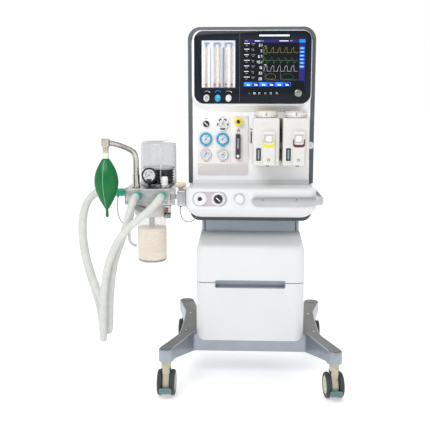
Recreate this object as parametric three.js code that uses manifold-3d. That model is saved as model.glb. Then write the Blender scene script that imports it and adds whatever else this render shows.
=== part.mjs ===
// An anesthesia machine on four swivel casters, built piece by piece.
// Units are millimetres and +Z is up. The machine faces -Y, and X = 0, Y = 0 below is
// its own centre line; the whole group is shifted at the end, so that the middle of
// the footprint is the origin.
import * as THREE from 'three';
import { mergeVertices } from 'three/addons/utils/BufferGeometryUtils.js';
import Module from 'manifold-3d';

const wasm = await Module();
wasm.setup();

// ---------------------------------------------------------------- driving dimensions
const GAP = 0.3;                                  // clearance between touching pieces
const MIDDLE = { x: 109.4, y: 12.2 };             // from the footprint's middle to X = 0, Y = 0

const BASE = {
  half: 204, front: -125, back: 150, top: 172, low: 98, tipLow: 126, bevel: 3,
};
const CASTER = {
  radius: 45, sides: 24, tread: 29.5, slot: 12, axle: 6, trail: -8, top: 104,
};
const CASTERS = [
  { side: 'front_left', x: -289, y: -297, turn: 0, pedal: true },
  { side: 'front_right', x: 289, y: -297, turn: 6, pedal: true },
  { side: 'rear_left', x: -268, y: 286, turn: 180, pedal: false },
  { side: 'rear_right', x: 268, y: 286, turn: 180, pedal: false },
];
const HUB = CASTER.radius * Math.cos(Math.PI / CASTER.sides);   // the wheels rest on flats
const CABINET = {
  half: 194, front: -170, back: 170, wall: 4, corner: 30,
  seam: 370, wrap: -127, skirt: 156, shoulder: 466, top: 537,
};
const SLOT = { half: 126, low: 351, high: 380, corner: 7 };
const DRAWER = { half: 164, front: -161.7, back: 140, low: 196, side: 344, face: 369, wall: 3 };
const CHASSIS = {
  half: 178, front: -130, neckFront: -50, back: 156, plate: 6,
  shelf: 490, top: 583, ledge: 240,
};
const TRAY = { half: 216, front: -128, back: 160, low: 583, high: 632.7, corner: 36 };
const WORKTOP = {
  half: 229, front: -175, back: 165, low: 633, high: 710, corner: 28, lip: 608, wall: 9,
};
const RECESS = { left: -204, right: -82, low: 647, high: 698, depth: 4 };
const RECESS_FLOOR = WORKTOP.front + RECESS.depth;
const FLUSH = { x: -40, z: 675, stem: 9 };
const OUTLET = { x: -178, z: 672.5, bore: 7.5 };
const OUTLET_SWITCH = { x: -114, z: 672.5 };
const RAIL = { thick: 6, low: 654, high: 681, left: 4, right: 254, out: 12, back: 62, bolts: [40, 157] };
const HOUSING = {
  half: 230, low: 710.3, high: 1273, split: -20, back: 150, corner: 45, wall: 4,
};
const CONSOLE = { half: 213, front: -64, back: -30, low: 972, high: 1264, corner: 38 };
const GLASS = { left: -203, right: 209, low: 1002, high: 1253, corner: 30, thick: 5 };
const SCREEN = { left: -28, right: 188, low: 1058, high: 1225 };
const TUBES = { left: -177, right: -58, low: 1058, high: 1221, at: [-161, -131, -113, -92, -71] };
const KNOB_FACE = CONSOLE.front - 2 * GAP - GLASS.thick;
const FLOW_KNOBS = [
  { gas: 'air', x: -159, finish: 'black' },
  { gas: 'nitrous_oxide', x: -119, finish: 'blue' },
  { gas: 'oxygen', x: -81, finish: 'white' },
];
const FLOW_KNOB_Z = 1021;
const PANEL = { left: -195, right: -10, low: 742, high: 961, thick: 4, corner: 6 };
const PANEL_BACK = CONSOLE.back - GAP;
const PANEL_FACE = PANEL_BACK - PANEL.thick;
const GAUGES = [
  { name: 'air_gauge', at: [[-103, 929]], radius: 21, finish: 'black' },
  { name: 'nitrous_oxide_gauges', at: [[-164, 874], [-103, 874]], radius: 22.5, finish: 'blue' },
  { name: 'oxygen_gauges', at: [[-164, 818], [-103, 818]], radius: 19.5, finish: 'white' },
];
const SOCKET = 14;                                // radius of a gauge's rear stem
const AUX = { x: -47, low: 800, high: 893, knobZ: 814, depth: 14 };
const VAPORIZER = { half: 46.5, front: -140, back: -60, low: 786, high: 953, dial: 42 };
const VAPORIZERS = [{ side: 'left', x: 52 }, { side: 'right', x: 156 }];
const BAR = { left: 8, right: 212, low: 796, high: 948, front: -45 };
const DIAL_Y = -97;
const LOCK = { out: 58, z: 853, radius: 13 };
const BLOCK = { left: -447, right: -284, front: -150, back: 62, low: 646, high: 704 };
const DOME = { x: -342, y: -8, radius: 66.5, wall: 3, low: 704.3, high: 868 };
const BELLOWS = { low: 711.3, high: 762, outer: 56, inner: 49, folds: 5 };
const PORTS = [[-406, 678], [-317, 678]];
const CANISTER = { x: -363, y: -60, radius: 54, low: 422, high: 595.7, headHigh: 645.7 };
const BAG_ARM = { x: -413, y: -100, low: BLOCK.high + GAP, collar: 752, tube: 9.5 };
const BAG = { x: -497, y: -200, radius: 42, depth: 0.85, tail: 611, low: 640, high: 818, cuff: 831.7 };
const JOINT = { x: -540, y: [-106, -74], z: 684, radius: 13 };
const HINGE = { x: -272, y: -145, radius: 6 };
const HOSE = { radius: 13.5, sides: 8, steps: 46 };
const WIRE = { radius: 1.5, sides: 8, steps: 18 };

// ---------------------------------------------------------------------- solid helpers
function volumeOf(points, faces) {
  let sum = 0;
  for (let i = 0; i < faces.length; i += 3) {
    const [a, b, c] = [points[faces[i]], points[faces[i + 1]], points[faces[i + 2]]];
    sum += a.dot(new THREE.Vector3().crossVectors(b, c));
  }
  return sum / 6;
}

function fromFaces(points, faces) {
  if (volumeOf(points, faces) < 0) {
    for (let i = 0; i < faces.length; i += 3) {
      [faces[i + 1], faces[i + 2]] = [faces[i + 2], faces[i + 1]];
    }
  }
  const vertProperties = new Float32Array(points.flatMap((p) => [p.x, p.y, p.z]));
  const triVerts = new Uint32Array(faces);
  return new wasm.Manifold(new wasm.Mesh({ numProp: 3, vertProperties, triVerts }));
}

function fromGeometry(geometry) {
  const bare = geometry.index ? geometry.toNonIndexed() : geometry.clone();
  bare.deleteAttribute('normal');
  bare.deleteAttribute('uv');
  const merged = mergeVertices(bare, 1e-3);
  const place = merged.attributes.position;
  const points = [];
  for (let i = 0; i < place.count; i += 1) {
    points.push(new THREE.Vector3().fromBufferAttribute(place, i));
  }
  const faces = [];
  const index = Array.from(merged.index.array);
  for (let i = 0; i < index.length; i += 3) {
    const [a, b, c] = index.slice(i, i + 3);
    if (a !== b && b !== c && a !== c) faces.push(a, b, c);
  }
  return fromFaces(points, faces);
}

function toGeometry(solid) {
  const mesh = solid.getMesh();
  const geometry = new THREE.BufferGeometry();
  const place = new Float32Array(mesh.vertProperties);
  geometry.setAttribute('position', new THREE.BufferAttribute(place, 3));
  geometry.setIndex(Array.from(mesh.triVerts));
  return geometry;
}

const join = (...solids) => solids.reduce((all, next) => all.add(next));
const cut = (solid, ...tools) => tools.reduce((all, next) => all.subtract(next), solid);

function box(x0, x1, y0, y1, z0, z1) {
  const geometry = new THREE.BoxGeometry(x1 - x0, y1 - y0, z1 - z0);
  geometry.translate((x0 + x1) / 2, (y0 + y1) / 2, (z0 + z1) / 2);
  return fromGeometry(geometry);
}

// A closed surface of revolution round Z from [radius, height] pairs.
function turned(profile, sides = 18) {
  const points = profile.map(([r, z]) => new THREE.Vector2(r, z));
  const geometry = new THREE.LatheGeometry(points, sides);
  geometry.rotateX(Math.PI / 2);
  return fromGeometry(geometry);
}

function rodZ(x, y, z0, z1, radius, sides = 16) {
  return turned([[0, z0], [radius, z0], [radius, z1], [0, z1]], sides).translate([x, y, 0]);
}

// A turned profile laid along -Y: heights count outwards from the face at y.
function turnedFront(x, y, z, profile, sides = 18) {
  return turned(profile, sides).rotate([90, 0, 0]).translate([x, y, z]);
}

function rodFront(x, z, y0, y1, radius, sides = 16) {
  return turnedFront(x, y0, z, [[0, 0], [radius, 0], [radius, y0 - y1], [0, y0 - y1]], sides);
}

function rodX(x0, x1, y, z, radius, sides = 16) {
  const geometry = new THREE.CylinderGeometry(radius, radius, x1 - x0, sides);
  geometry.rotateZ(Math.PI / 2);
  geometry.translate((x0 + x1) / 2, y, z);
  return fromGeometry(geometry);
}

// A rounded rectangle's outline; radius is one number or [low, high] for its two ends.
function rounded(u0, u1, v0, v1, radius, steps = 4) {
  const [low, high] = Array.isArray(radius) ? radius : [radius, radius];
  const corners = [
    [u1 - low, v0 + low, low, -90],
    [u1 - high, v1 - high, high, 0],
    [u0 + high, v1 - high, high, 90],
    [u0 + low, v0 + low, low, 180],
  ];
  const outline = [];
  for (const [u, v, r, start] of corners) {
    for (let i = 0; i <= steps; i += 1) {
      const angle = THREE.MathUtils.degToRad(start + (90 * i) / steps);
      outline.push([u + r * Math.cos(angle), v + r * Math.sin(angle)]);
    }
  }
  return outline;
}

const atZ = (outline, z) => outline.map(([x, y]) => new THREE.Vector3(x, y, z));
const atY = (outline, y) => outline.map(([x, z]) => new THREE.Vector3(x, y, z));

// A skin through rings of equal point count, closed by a fan at either end.
function loft(rings) {
  const sides = rings[0].length;
  const points = rings.flat();
  const faces = [];
  for (let ring = 0; ring + 1 < rings.length; ring += 1) {
    for (let i = 0; i < sides; i += 1) {
      const a = ring * sides + i;
      const b = ring * sides + ((i + 1) % sides);
      faces.push(a, b, b + sides, a, b + sides, a + sides);
    }
  }
  for (const [ring, flip] of [[0, true], [rings.length - 1, false]]) {
    const middle = new THREE.Vector3();
    rings[ring].forEach((point) => middle.addScaledVector(point, 1 / sides));
    const centre = points.push(middle) - 1;
    for (let i = 0; i < sides; i += 1) {
      const a = ring * sides + i;
      const b = ring * sides + ((i + 1) % sides);
      faces.push(centre, flip ? b : a, flip ? a : b);
    }
  }
  return fromFaces(points, faces);
}

function slabZ(outline, z0, z1) {
  return loft([atZ(outline, z0), atZ(outline, z1)]);
}

function slabY(outline, y0, y1) {
  return loft([atY(outline, y0), atY(outline, y1)]);
}

// A straight prism along X from [y, z] corners.
function prismX(corners, x0, x1) {
  const shape = new THREE.Shape(corners.map(([y, z]) => new THREE.Vector2(y, z)));
  const geometry = new THREE.ExtrudeGeometry(shape, { depth: x1 - x0, bevelEnabled: false });
  geometry.applyMatrix4(new THREE.Matrix4().set(
    0, 0, 1, x0,
    1, 0, 0, 0,
    0, 1, 0, 0,
    0, 0, 0, 1,
  ));
  return fromGeometry(geometry);
}

// A round rod along a smooth line through the given points.
function rodAlong(points, radius, sides, steps) {
  const line = new THREE.CatmullRomCurve3(points.map((p) => new THREE.Vector3(...p)));
  const section = new THREE.Shape();
  for (let i = 0; i < sides; i += 1) {
    const angle = (2 * Math.PI * i) / sides;
    section[i === 0 ? 'moveTo' : 'lineTo'](radius * Math.cos(angle), radius * Math.sin(angle));
  }
  const options = { steps, bevelEnabled: false, extrudePath: line };
  return fromGeometry(new THREE.ExtrudeGeometry(section, options));
}

// -------------------------------------------------------------------------- materials
const FINISHES = {
  white: ['#f1f2f3', 0.42, 0.0],
  greyPanel: ['#dcdadb', 0.5, 0.0],
  darkGrey: ['#5a6064', 0.5, 0.1],
  blueGrey: ['#8d95a4', 0.45, 0.4],
  silver: ['#8a98a6', 0.38, 0.6],
  glass: ['#1a1f2a', 0.12, 0.0],
  screen: ['#05070c', 0.1, 0.0],
  tubes: ['#e8eaee', 0.25, 0.0],
  black: ['#17181a', 0.4, 0.0],
  blue: ['#2c9fe0', 0.35, 0.0],
  yellow: ['#e4dc1c', 0.4, 0.0],
  chrome: ['#d8d6d0', 0.12, 1.0],
  alloy: ['#b4b6b9', 0.35, 0.9],
  cream: ['#e6dfc8', 0.45, 0.0],
  khaki: ['#c8c4a8', 0.5, 0.0],
  tyre: ['#3a444c', 0.65, 0.0],
  pedal: ['#6f8a8c', 0.5, 0.0],
  bar: ['#4a4c3e', 0.5, 0.2],
  clear: ['#e6ecee', 0.08, 0.0],
  lime: ['#f0e4d4', 0.9, 0.0],
  green: ['#2a9d5c', 0.35, 0.0],
  teal: ['#2fb89a', 0.35, 0.0],
  hose: ['#dfe0dc', 0.4, 0.0],
  wire: ['#8d8f90', 0.5, 0.0],
};

const machine = new THREE.Group();
machine.position.set(MIDDLE.x, MIDDLE.y, 0);

function piece(name, solid, finish, parent = machine) {
  const [color, roughness, metalness] = FINISHES[finish];
  const material = new THREE.MeshStandardMaterial({ color, roughness, metalness });
  const mesh = new THREE.Mesh(toGeometry(solid), material);
  mesh.name = name;
  parent.add(mesh);
}

// --------------------------------------------------------------------- base and casters
function arc(x, y, radius, from, to, steps) {
  const points = [];
  for (let i = 0; i <= steps; i += 1) {
    const angle = THREE.MathUtils.degToRad(from + ((to - from) * i) / steps);
    points.push([x + radius * Math.cos(angle), y + radius * Math.sin(angle)]);
  }
  return points;
}

function legOutline() {
  return [
    [BASE.half, BASE.front],
    ...arc(288, -302, 26, 168, 370, 7),
    [284, -215],
    [261, -152],
    [255, -108],
    [255, 40],
    [259, 140],
    ...arc(264, 286, 31, -24, 155, 6),
    [BASE.half, BASE.back],
  ];
}

function baseFrame() {
  const right = legOutline();
  const left = right.map(([x, y]) => [-x, y]).reverse();
  const shape = new THREE.Shape([...right, ...left].map(([x, y]) => new THREE.Vector2(x, y)));
  const geometry = new THREE.ExtrudeGeometry(shape, {
    depth: BASE.top - BASE.low - BASE.bevel,
    bevelThickness: BASE.bevel,
    bevelSize: BASE.bevel,
    bevelOffset: -BASE.bevel,
    bevelSegments: 1,
  });
  geometry.translate(0, 0, BASE.low);
  const frame = fromGeometry(geometry);
  const reach = 400;
  const under = (y0, y1) => prismX([
    [y0, BASE.low - 10],
    [y0, BASE.low],
    [y1, BASE.tipLow],
    [Math.sign(y1) * reach, BASE.tipLow],
    [Math.sign(y1) * reach, BASE.low - 10],
  ], -reach, reach);
  const flush = box(-reach, reach, -reach, reach, BASE.low - 10, BASE.low);
  return cut(frame, flush, under(BASE.front - 20, -258), under(BASE.back + 10, 250));
}
piece('base_frame', baseFrame(), 'silver');

function forkBody() {
  const collar = rodZ(0, 0, CASTER.top - 3.5, BASE.tipLow - GAP, 17, 16);
  const flange = rodZ(0, 0, BASE.tipLow - GAP - 4, BASE.tipLow - GAP, 20, 16);
  const hood = rodX(-CASTER.slot + 1.5, CASTER.slot - 1.5, -CASTER.trail, HUB, 34, 18);
  const neck = prismX([
    [-14, 68],
    [-15, CASTER.top],
    [16, CASTER.top],
    [24, 68],
  ], -CASTER.slot + 1.5, CASTER.slot - 1.5);
  const bore = rodX(-20, 20, -CASTER.trail, HUB, CASTER.axle + GAP, 12);
  return cut(join(collar, flange, hood, neck), bore);
}

function twinWheel() {
  const [r, outer, inner] = [CASTER.radius, CASTER.tread, CASTER.slot];
  const half = [[r, 16], [r, 24], [r - 3, outer - 2], [r - 9, outer]];
  const profile = [
    [0, -outer],
    ...half.map(([radius, x]) => [radius, -x]).reverse(),
    [r - 4, -inner],
    [CASTER.axle, -inner],
    [CASTER.axle, inner],
    [r - 4, inner],
    ...half,
    [0, outer],
  ];
  const flat = 180 / CASTER.sides;
  return turned(profile, CASTER.sides)
    .rotate([0, 0, flat])
    .rotate([0, 90, 0])
    .translate([0, -CASTER.trail, HUB]);
}

function brakePedal() {
  const toe = slabY(rounded(-21, 21, 22, 41, 6, 2), -48, -39);
  const arm = box(-9, 9, -41, -32, 28, 40);
  const knuckle = rodX(-9, 9, -32, 34, 5, 12);
  return join(toe, arm, knuckle);
}

for (const { side, x, y, turn, pedal } of CASTERS) {
  const place = new THREE.Group();
  place.position.set(x, y, 0);
  place.rotation.z = THREE.MathUtils.degToRad(turn);
  machine.add(place);
  piece(`caster_fork_${side}`, forkBody(), 'khaki', place);
  piece(`caster_wheels_${side}`, twinWheel(), 'tyre', place);
  if (pedal) piece(`brake_pedal_${side}`, brakePedal(), 'pedal', place);
}

// -------------------------------------------------------------- cabinet and its drawer
function cabinetRings(inset, low) {
  const sections = [
    [low, 0, 0],
    [CABINET.shoulder, 0, 0],
    [486, 1.5, 1],
    [499, 4, 7],
    [507, 6, 22],
    [CABINET.top, 13, CHASSIS.neckFront - CABINET.front - 3.8],
  ];
  return sections.map(([z, narrower, set]) => {
    const half = CABINET.half - narrower - inset;
    const front = CABINET.front + set + inset;
    const radius = Math.max(3, (z > 507 ? 6 : CABINET.corner) - inset);
    return atZ(rounded(-half, half, front, CABINET.back - inset, radius), z);
  });
}

function slotCutter(y0, y1) {
  return slabY(rounded(-SLOT.half, SLOT.half, SLOT.low, SLOT.high, SLOT.corner, 3), y0, y1);
}

function cabinetCover() {
  const outside = loft(cabinetRings(0, BASE.top + GAP));
  const hollow = cabinetRings(CABINET.wall, BASE.top - 5);
  const inside = loft(hollow);
  const { half, neckFront, back } = CHASSIS;
  const neck = box(-half - GAP, half + GAP, neckFront - GAP, back, 500, CABINET.top + 5);
  const mouth = box(-300, 300, CABINET.front - 10, CABINET.wrap, 150, CABINET.seam + 1);
  return cut(outside, inside, neck, mouth, slotCutter(CABINET.front - 10, -150));
}
piece('cabinet_cover', cabinetCover(), 'white');

function chassis() {
  const { half, plate, front, neckFront, back, shelf, top, ledge } = CHASSIS;
  const low = BASE.top + GAP;
  const side = [
    [front, low], [front, 470], [neckFront, shelf], [neckFront, top + 5],
    [back, top + 5], [back, low],
  ];
  const wallRight = prismX(side, half - plate, half);
  const ledgeRight = box(
    half - plate - 7, half - plate + 1, front + 10, back - 2, ledge, ledge + 10,
  );
  const sideRight = join(wallRight, ledgeRight);
  const sideLeft = sideRight.mirror([1, 0, 0]);
  const rear = box(-half, half, back - plate, back, low, top + 5);
  const floor = box(-half, half, front, back, low, low + 5);
  const neck = box(-half, half, neckFront, neckFront + plate, shelf, top + 5);
  const tray = slabY(
    rounded(-TRAY.half, TRAY.half, TRAY.low, TRAY.high, [TRAY.corner, 2], 5),
    TRAY.front, TRAY.back,
  );
  const well = box(
    -half + 20, half - 20, TRAY.front + 25, TRAY.back - 15, TRAY.low + 8, TRAY.high + 1,
  );
  return join(cut(tray, well), sideLeft, sideRight, rear, floor, neck);
}
piece('chassis', chassis(), 'blueGrey');

function drawerFront() {
  const { half, front, corner, seam, wrap, skirt, back } = CABINET;
  const thick = 8;
  const skin = slabZ(rounded(-half, half, front, back, corner), skirt, seam);
  const inner = slabZ(
    rounded(-half + thick, half - thick, front + thick, back - thick, corner - thick),
    skirt - 5, seam + 5,
  );
  const keep = slabY(rounded(-half - 1, half + 1, skirt, seam + 40, 34, 5), front - 5, wrap);
  return cut(skin.intersect(keep), inner, slotCutter(front - 10, front + 20));
}
piece('drawer_front', drawerFront(), 'white');

function drawerBox() {
  const { half, front, back, low, side, face, wall } = DRAWER;
  const body = box(-half, half, front, back, low, side);
  const room = box(-half + wall, half - wall, front + 22, back - wall, low + wall, face + 10);
  const grip = box(-150, 150, front + 12, front + 22, side - 5, face);
  const throat = box(-138, 138, front - 1, front + 12, SLOT.low - 22, side + 1);
  const { ledge, plate } = CHASSIS;
  const runners = [-1, 1].map((s) => box(
    s > 0 ? half - 1 : -half - 7, s > 0 ? half + 7 : 1 - half,
    front + 40, back, ledge + 10 + GAP, ledge + 10 + plate,
  ));
  return join(cut(body, room, throat), grip, ...runners);
}
piece('drawer_box', drawerBox(), 'blueGrey');

// ------------------------------------------------------------------------------ worktop
function worktop() {
  const { half, front, back, low, high, corner, lip, wall } = WORKTOP;
  const ring = (z, inset) => atZ(
    rounded(-half + inset, half - inset, front + inset, back, [corner, 8]), z,
  );
  const slab = loft([
    ring(low, 3), ring(low + 6, 0), ring(high - 12, 0), ring(high - 4, 3), ring(high, 9),
  ]);
  const keel = (z, inset, set) => atZ(
    rounded(-half + inset, half - inset, front + set, TRAY.front - GAP, 8), z,
  );
  const chin = loft([
    keel(lip, 36, 28), keel(lip + 8, 24, 18), keel(low, 4, 3.5), keel(low + 3, 4, 3.5),
  ]);
  const under = box(-half + wall, half - wall, front + wall, back - wall, low - 30, high - 6);
  const roomBelow = cut(under, box(-half, half, front - 1, TRAY.front + 1, 500, low));
  const { left, right, low: z0, high: z1, depth } = RECESS;
  const end = (z1 - z0) / 2 - 0.01;
  const pill = slabY(rounded(left, right, z0, z1, end, 6), front - 5, front + depth);
  const guide = rodFront(FLUSH.x, FLUSH.z, front + 20, front - 5, FLUSH.stem + GAP);
  return cut(join(slab, chin), roomBelow, pill, guide);
}
piece('worktop', worktop(), 'white');

function flushButton() {
  const face = WORKTOP.front;
  const stem = rodFront(FLUSH.x, FLUSH.z, face + 12, face - 6, FLUSH.stem);
  const cap = turnedFront(
    FLUSH.x, face - 5.6, FLUSH.z, [[0, 0], [16, 0], [16, 4], [14, 6.5], [0, 6.5]],
  );
  return join(stem, cap);
}
piece('oxygen_flush_button', flushButton(), 'white');

function gasOutlet() {
  const { x, z, bore } = OUTLET;
  const rim = [[0, 0], [24, 0], [24, 5], [20, 9], [11, 9], [0, 7]];
  const hole = rodFront(x, z, RECESS_FLOOR - 3, RECESS_FLOOR - 20, bore);
  return cut(turnedFront(x, RECESS_FLOOR - GAP, z, rim), hole);
}
piece('gas_outlet', gasOutlet(), 'white');

piece('outlet_switch_knob', turnedFront(
  OUTLET_SWITCH.x, RECESS_FLOOR - GAP, OUTLET_SWITCH.z,
  [[0, 0], [13.5, 0], [13.5, 12], [12, 14], [0, 14]],
), 'black');

function sideRail() {
  const { thick, low, high, left, right, out, back, bolts } = RAIL;
  const front = WORKTOP.front - out;
  const [corner, far] = [36, 400];
  const outer = slabZ(rounded(-60, right, front, far, corner, 6), low, high);
  const inner = slabZ(
    rounded(thick - 60, right - thick, front + thick, far - thick, corner - thick, 6),
    low - 1, high + 1,
  );
  const bar = cut(outer, inner).intersect(box(left, far, front - 5, back, low - 1, high + 1));
  const middle = (low + high) / 2;
  const spacers = bolts.map((x) => rodFront(x, middle, WORKTOP.front - GAP, front + 1, 8, 12));
  const sideSpacer = rodX(WORKTOP.half + GAP, right - thick + 1, 30, middle, 8, 12);
  return join(bar, ...spacers, sideSpacer);
}
piece('side_rail', sideRail(), 'alloy');

// ----------------------------------------------------------------------------- housing
function rearHousing() {
  const { half, low, high, split, back, corner, wall } = HOUSING;
  const ring = (y, inset, base = low) => atY(
    rounded(-half + inset, half - inset, base, high - inset, [2, corner - inset], 5), y,
  );
  const outside = loft([
    ring(split + GAP, 3), ring(split + 5, 0), ring(back - 14, 0), ring(back - 4, 5), ring(back, 12),
  ]);
  const inside = loft([
    ring(split - 5, wall, low + wall), ring(back - wall - 8, wall + 8, low + wall),
  ]);
  return cut(outside, inside);
}
piece('rear_housing', rearHousing(), 'darkGrey');

function frontHousing() {
  const { half, front, back, low, high, corner } = CONSOLE;
  const { split, low: foot } = HOUSING;
  const console = loft([
    atY(rounded(-half, half, low, high, corner, 5), back),
    atY(rounded(-half, half, low + 10, high, corner, 5), back - 12),
    atY(rounded(-half + 1, half - 1, low + 19, high - 1, corner, 5), front + 8),
    atY(rounded(-half + 4, half - 4, low + 25, high - 4, corner - 3, 5), front),
  ]);
  const plate = slabY(rounded(-half, half, foot, high, [2, corner], 5), back, split);
  const inner = half - 6;
  const upperRoom = slabY(
    rounded(-inner, inner, low + 34, high - 8, corner - 4, 5), front + 4, split + 5,
  );
  const lowerRoom = box(-inner, inner, back + 4, split + 5, foot + 14, low + 34);
  const opening = box(
    PANEL.left + 10, PANEL.right - 10, back - 5, split, PANEL.low + 10, PANEL.high - 10,
  );
  const cove = prismX([
    [back + 1, foot], [back - 9, foot], [back - 4, foot + 2.5], [back - 1.5, foot + 7],
    [back + 1, foot + 14],
  ], -half, half);
  return cut(join(console, plate, cove), upperRoom, lowerRoom, opening);
}
piece('front_housing', frontHousing(), 'white');

function glassPanel() {
  const face = CONSOLE.front - GAP;
  const { left, right, low, high, corner, thick } = GLASS;
  const pane = slabY(rounded(left, right, low, high, [corner + 5, corner], 6), face, face - thick);
  const hole = (at, margin) => box(
    at.left - margin, at.right + margin, face - 20, face + 5, at.low - margin, at.high + margin,
  );
  return cut(pane, hole(SCREEN, 0), hole(TUBES, 0));
}
piece('display_bezel', glassPanel(), 'glass');

function inWindow(at, proud) {
  const face = CONSOLE.front - GAP;
  return box(
    at.left + GAP, at.right - GAP, face - GLASS.thick - proud, face, at.low + GAP, at.high - GAP,
  );
}
piece('display_screen', inWindow(SCREEN, -1.2), 'screen');

function flowmeterBlock() {
  const face = CONSOLE.front - GAP - GLASS.thick;
  const glass = TUBES.at.map((x) => rodZ(x, face - 0.5, TUBES.low + 4, TUBES.high - 8, 4.5, 10));
  return join(inWindow(TUBES, -1), ...glass);
}
piece('flowmeter_block', flowmeterBlock(), 'tubes');

// ------------------------------------------------------------------ knobs on the console
function flowKnob(x) {
  const sides = 16;
  const ring = (out, across, up) => {
    const outline = [];
    for (let i = 0; i < sides; i += 1) {
      const angle = (2 * Math.PI * i) / sides;
      outline.push([x + across * Math.cos(angle), FLOW_KNOB_Z + up * Math.sin(angle)]);
    }
    return atY(outline, KNOB_FACE - out);
  };
  const cap = loft([ring(5, 9, 9), ring(9, 11, 13), ring(24, 10.5, 13), ring(27, 8.5, 11)]);
  return join(rodFront(x, FLOW_KNOB_Z, KNOB_FACE, KNOB_FACE - 8, 8), cap);
}
for (const { gas, x, finish } of FLOW_KNOBS) piece(`${gas}_flow_knob`, flowKnob(x), finish);

piece('menu_knob', turnedFront(
  164, KNOB_FACE, 1038, [[0, 0], [15, 0], [15, 3], [13.5, 5], [13.5, 17], [11.5, 19], [0, 19]],
), 'chrome');

// --------------------------------------------------------------------- gauges and panel
function gaugePanel() {
  const { left, right, low, high, corner } = PANEL;
  const plate = slabY(rounded(left, right, low, high, corner, 3), PANEL_BACK, PANEL_FACE);
  const holes = GAUGES.flatMap((set) => set.at).map(([x, z]) => rodFront(
    x, z, PANEL_BACK + 5, PANEL_FACE - 5, SOCKET + GAP,
  ));
  return cut(plate, ...holes);
}
piece('gauge_panel', gaugePanel(), 'greyPanel');

function gaugeSet({ at, radius }) {
  const behind = PANEL_BACK + 6;
  const cups = at.map(([x, z]) => join(
    turnedFront(
      x, PANEL_FACE - GAP, z, [[0, 0], [radius, 0], [radius, 9], [radius - 2, 12], [0, 12]],
    ),
    rodFront(x, z, behind, PANEL_FACE - 2, SOCKET),
  ));
  if (at.length === 1) return cups[0];
  const [[x0, z], [x1]] = at;
  return join(...cups, box(x0, x1, behind - 4, behind + 4, z - 5, z + 5));
}
for (const set of GAUGES) piece(set.name, gaugeSet(set), set.finish);

piece('selector_switch', turnedFront(
  -163, PANEL_FACE - GAP, 929, [[0, 0], [11.5, 0], [11.5, 9], [10, 11], [0, 11]],
), 'black');
piece('suction_knob', turnedFront(
  -46, PANEL_FACE - GAP, 937, [[0, 0], [12, 0], [12, 4], [15, 6], [15, 17], [13, 19], [0, 19]],
), 'yellow');

function auxFlowmeter() {
  const { x, low, high, depth } = AUX;
  const back = PANEL_FACE - GAP;
  const body = slabY(rounded(x - 10, x + 10, low, high, 3, 2), back, back - depth);
  return join(body, rodZ(x, back - depth, 828, high - 4, 5, 12));
}
piece('auxiliary_flowmeter', auxFlowmeter(), 'black');
piece('auxiliary_flow_knob', turnedFront(
  AUX.x, PANEL_FACE - 2 * GAP - AUX.depth, AUX.knobZ,
  [[0, 0], [10, 0], [10, 12], [8.5, 14], [0, 14]],
), 'white');

// -------------------------------------------------------------------------- vaporizers
piece('vaporizer_bar', slabY(
  rounded(BAR.left, BAR.right, BAR.low, BAR.high, 4, 2), CONSOLE.back - GAP, BAR.front,
), 'bar');

function vaporizerBody(x) {
  const { half, front, back, low, high } = VAPORIZER;
  const body = slabZ(rounded(x - half, x + half, front, back, 5, 2), low, high);
  const filler = slabY(rounded(x - 12, x + 30, low + 2, 908, 4, 2), front + 1, front - 11);
  const notch = box(x - 8, x + 26, front - 12, front - 5, 868, 896);
  const boss = box(x - 22, x + 18, back - 1, BAR.front - GAP, 830, 880);
  const neck = rodZ(x, DIAL_Y, high - 1, high + 3, 30);
  return join(body, cut(filler, notch), boss, neck);
}

function vaporizerDial(x) {
  const { high, dial } = VAPORIZER;
  const z = high + 3 + GAP;
  const ring = [[0, z], [dial, z], [dial, z + 6], [dial - 3, z + 19], [dial - 6, z + 21], [0, z + 21]];
  return turned(ring, 24).translate([x, DIAL_Y, 0]);
}

for (const { side, x } of VAPORIZERS) {
  piece(`vaporizer_body_${side}`, vaporizerBody(x), 'white');
  piece(`vaporizer_dial_${side}`, vaporizerDial(x), 'white');
  piece(`vaporizer_lock_${side}`, turnedFront(
    x + LOCK.out, BAR.front - GAP, LOCK.z, [[0, 0], [LOCK.radius, 0], [LOCK.radius, 9], [11, 11], [0, 11]],
  ), 'greyPanel');
}

// --------------------------------------------------------------------- breathing circuit
function circuitArm() {
  const arm = box(-261, -WORKTOP.half - GAP, -140, -30, 640, 697);
  const [low, high] = [BLOCK.low + 20, BLOCK.high - 20];
  const knuckle = rodZ(HINGE.x, HINGE.y, low, high, HINGE.radius);
  const leaf = box(HINGE.x, -255, -140, -136, low, high);
  const leafWeb = box(HINGE.x - 2, HINGE.x + 2, -147, -136, low, high);
  const star = turned([[0, 696], [9, 696], [9, 702], [21, 704], [22, 716], [19, 722], [0, 722]]);
  return join(arm, knuckle, leaf, leafWeb, star.translate([-254, -85, 0]));
}
piece('circuit_arm', circuitArm(), 'alloy');

function absorberBlock() {
  const { left, right, front, back, low, high } = BLOCK;
  const body = slabZ(rounded(left, right, front, back, 4, 2), low, high);
  const lobes = [[low, low + 18], [high - 18, high]].map(([z0, z1]) => join(
    rodZ(HINGE.x, HINGE.y, z0, z1, HINGE.radius),
    box(right - 5, HINGE.x, -149, -142, z0, z1),
  ));
  const seatRadius = DOME.radius - DOME.wall - 2 * GAP;
  const seat = rodZ(DOME.x, DOME.y, high - 1, high + 7, seatRadius, 24);
  const ports = PORTS.map(([x, z]) => rodFront(x, z, front + 1, front - 18, 10.5));
  return join(body, seat, ...lobes, ...ports);
}
piece('absorber_block', absorberBlock(), 'alloy');

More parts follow.
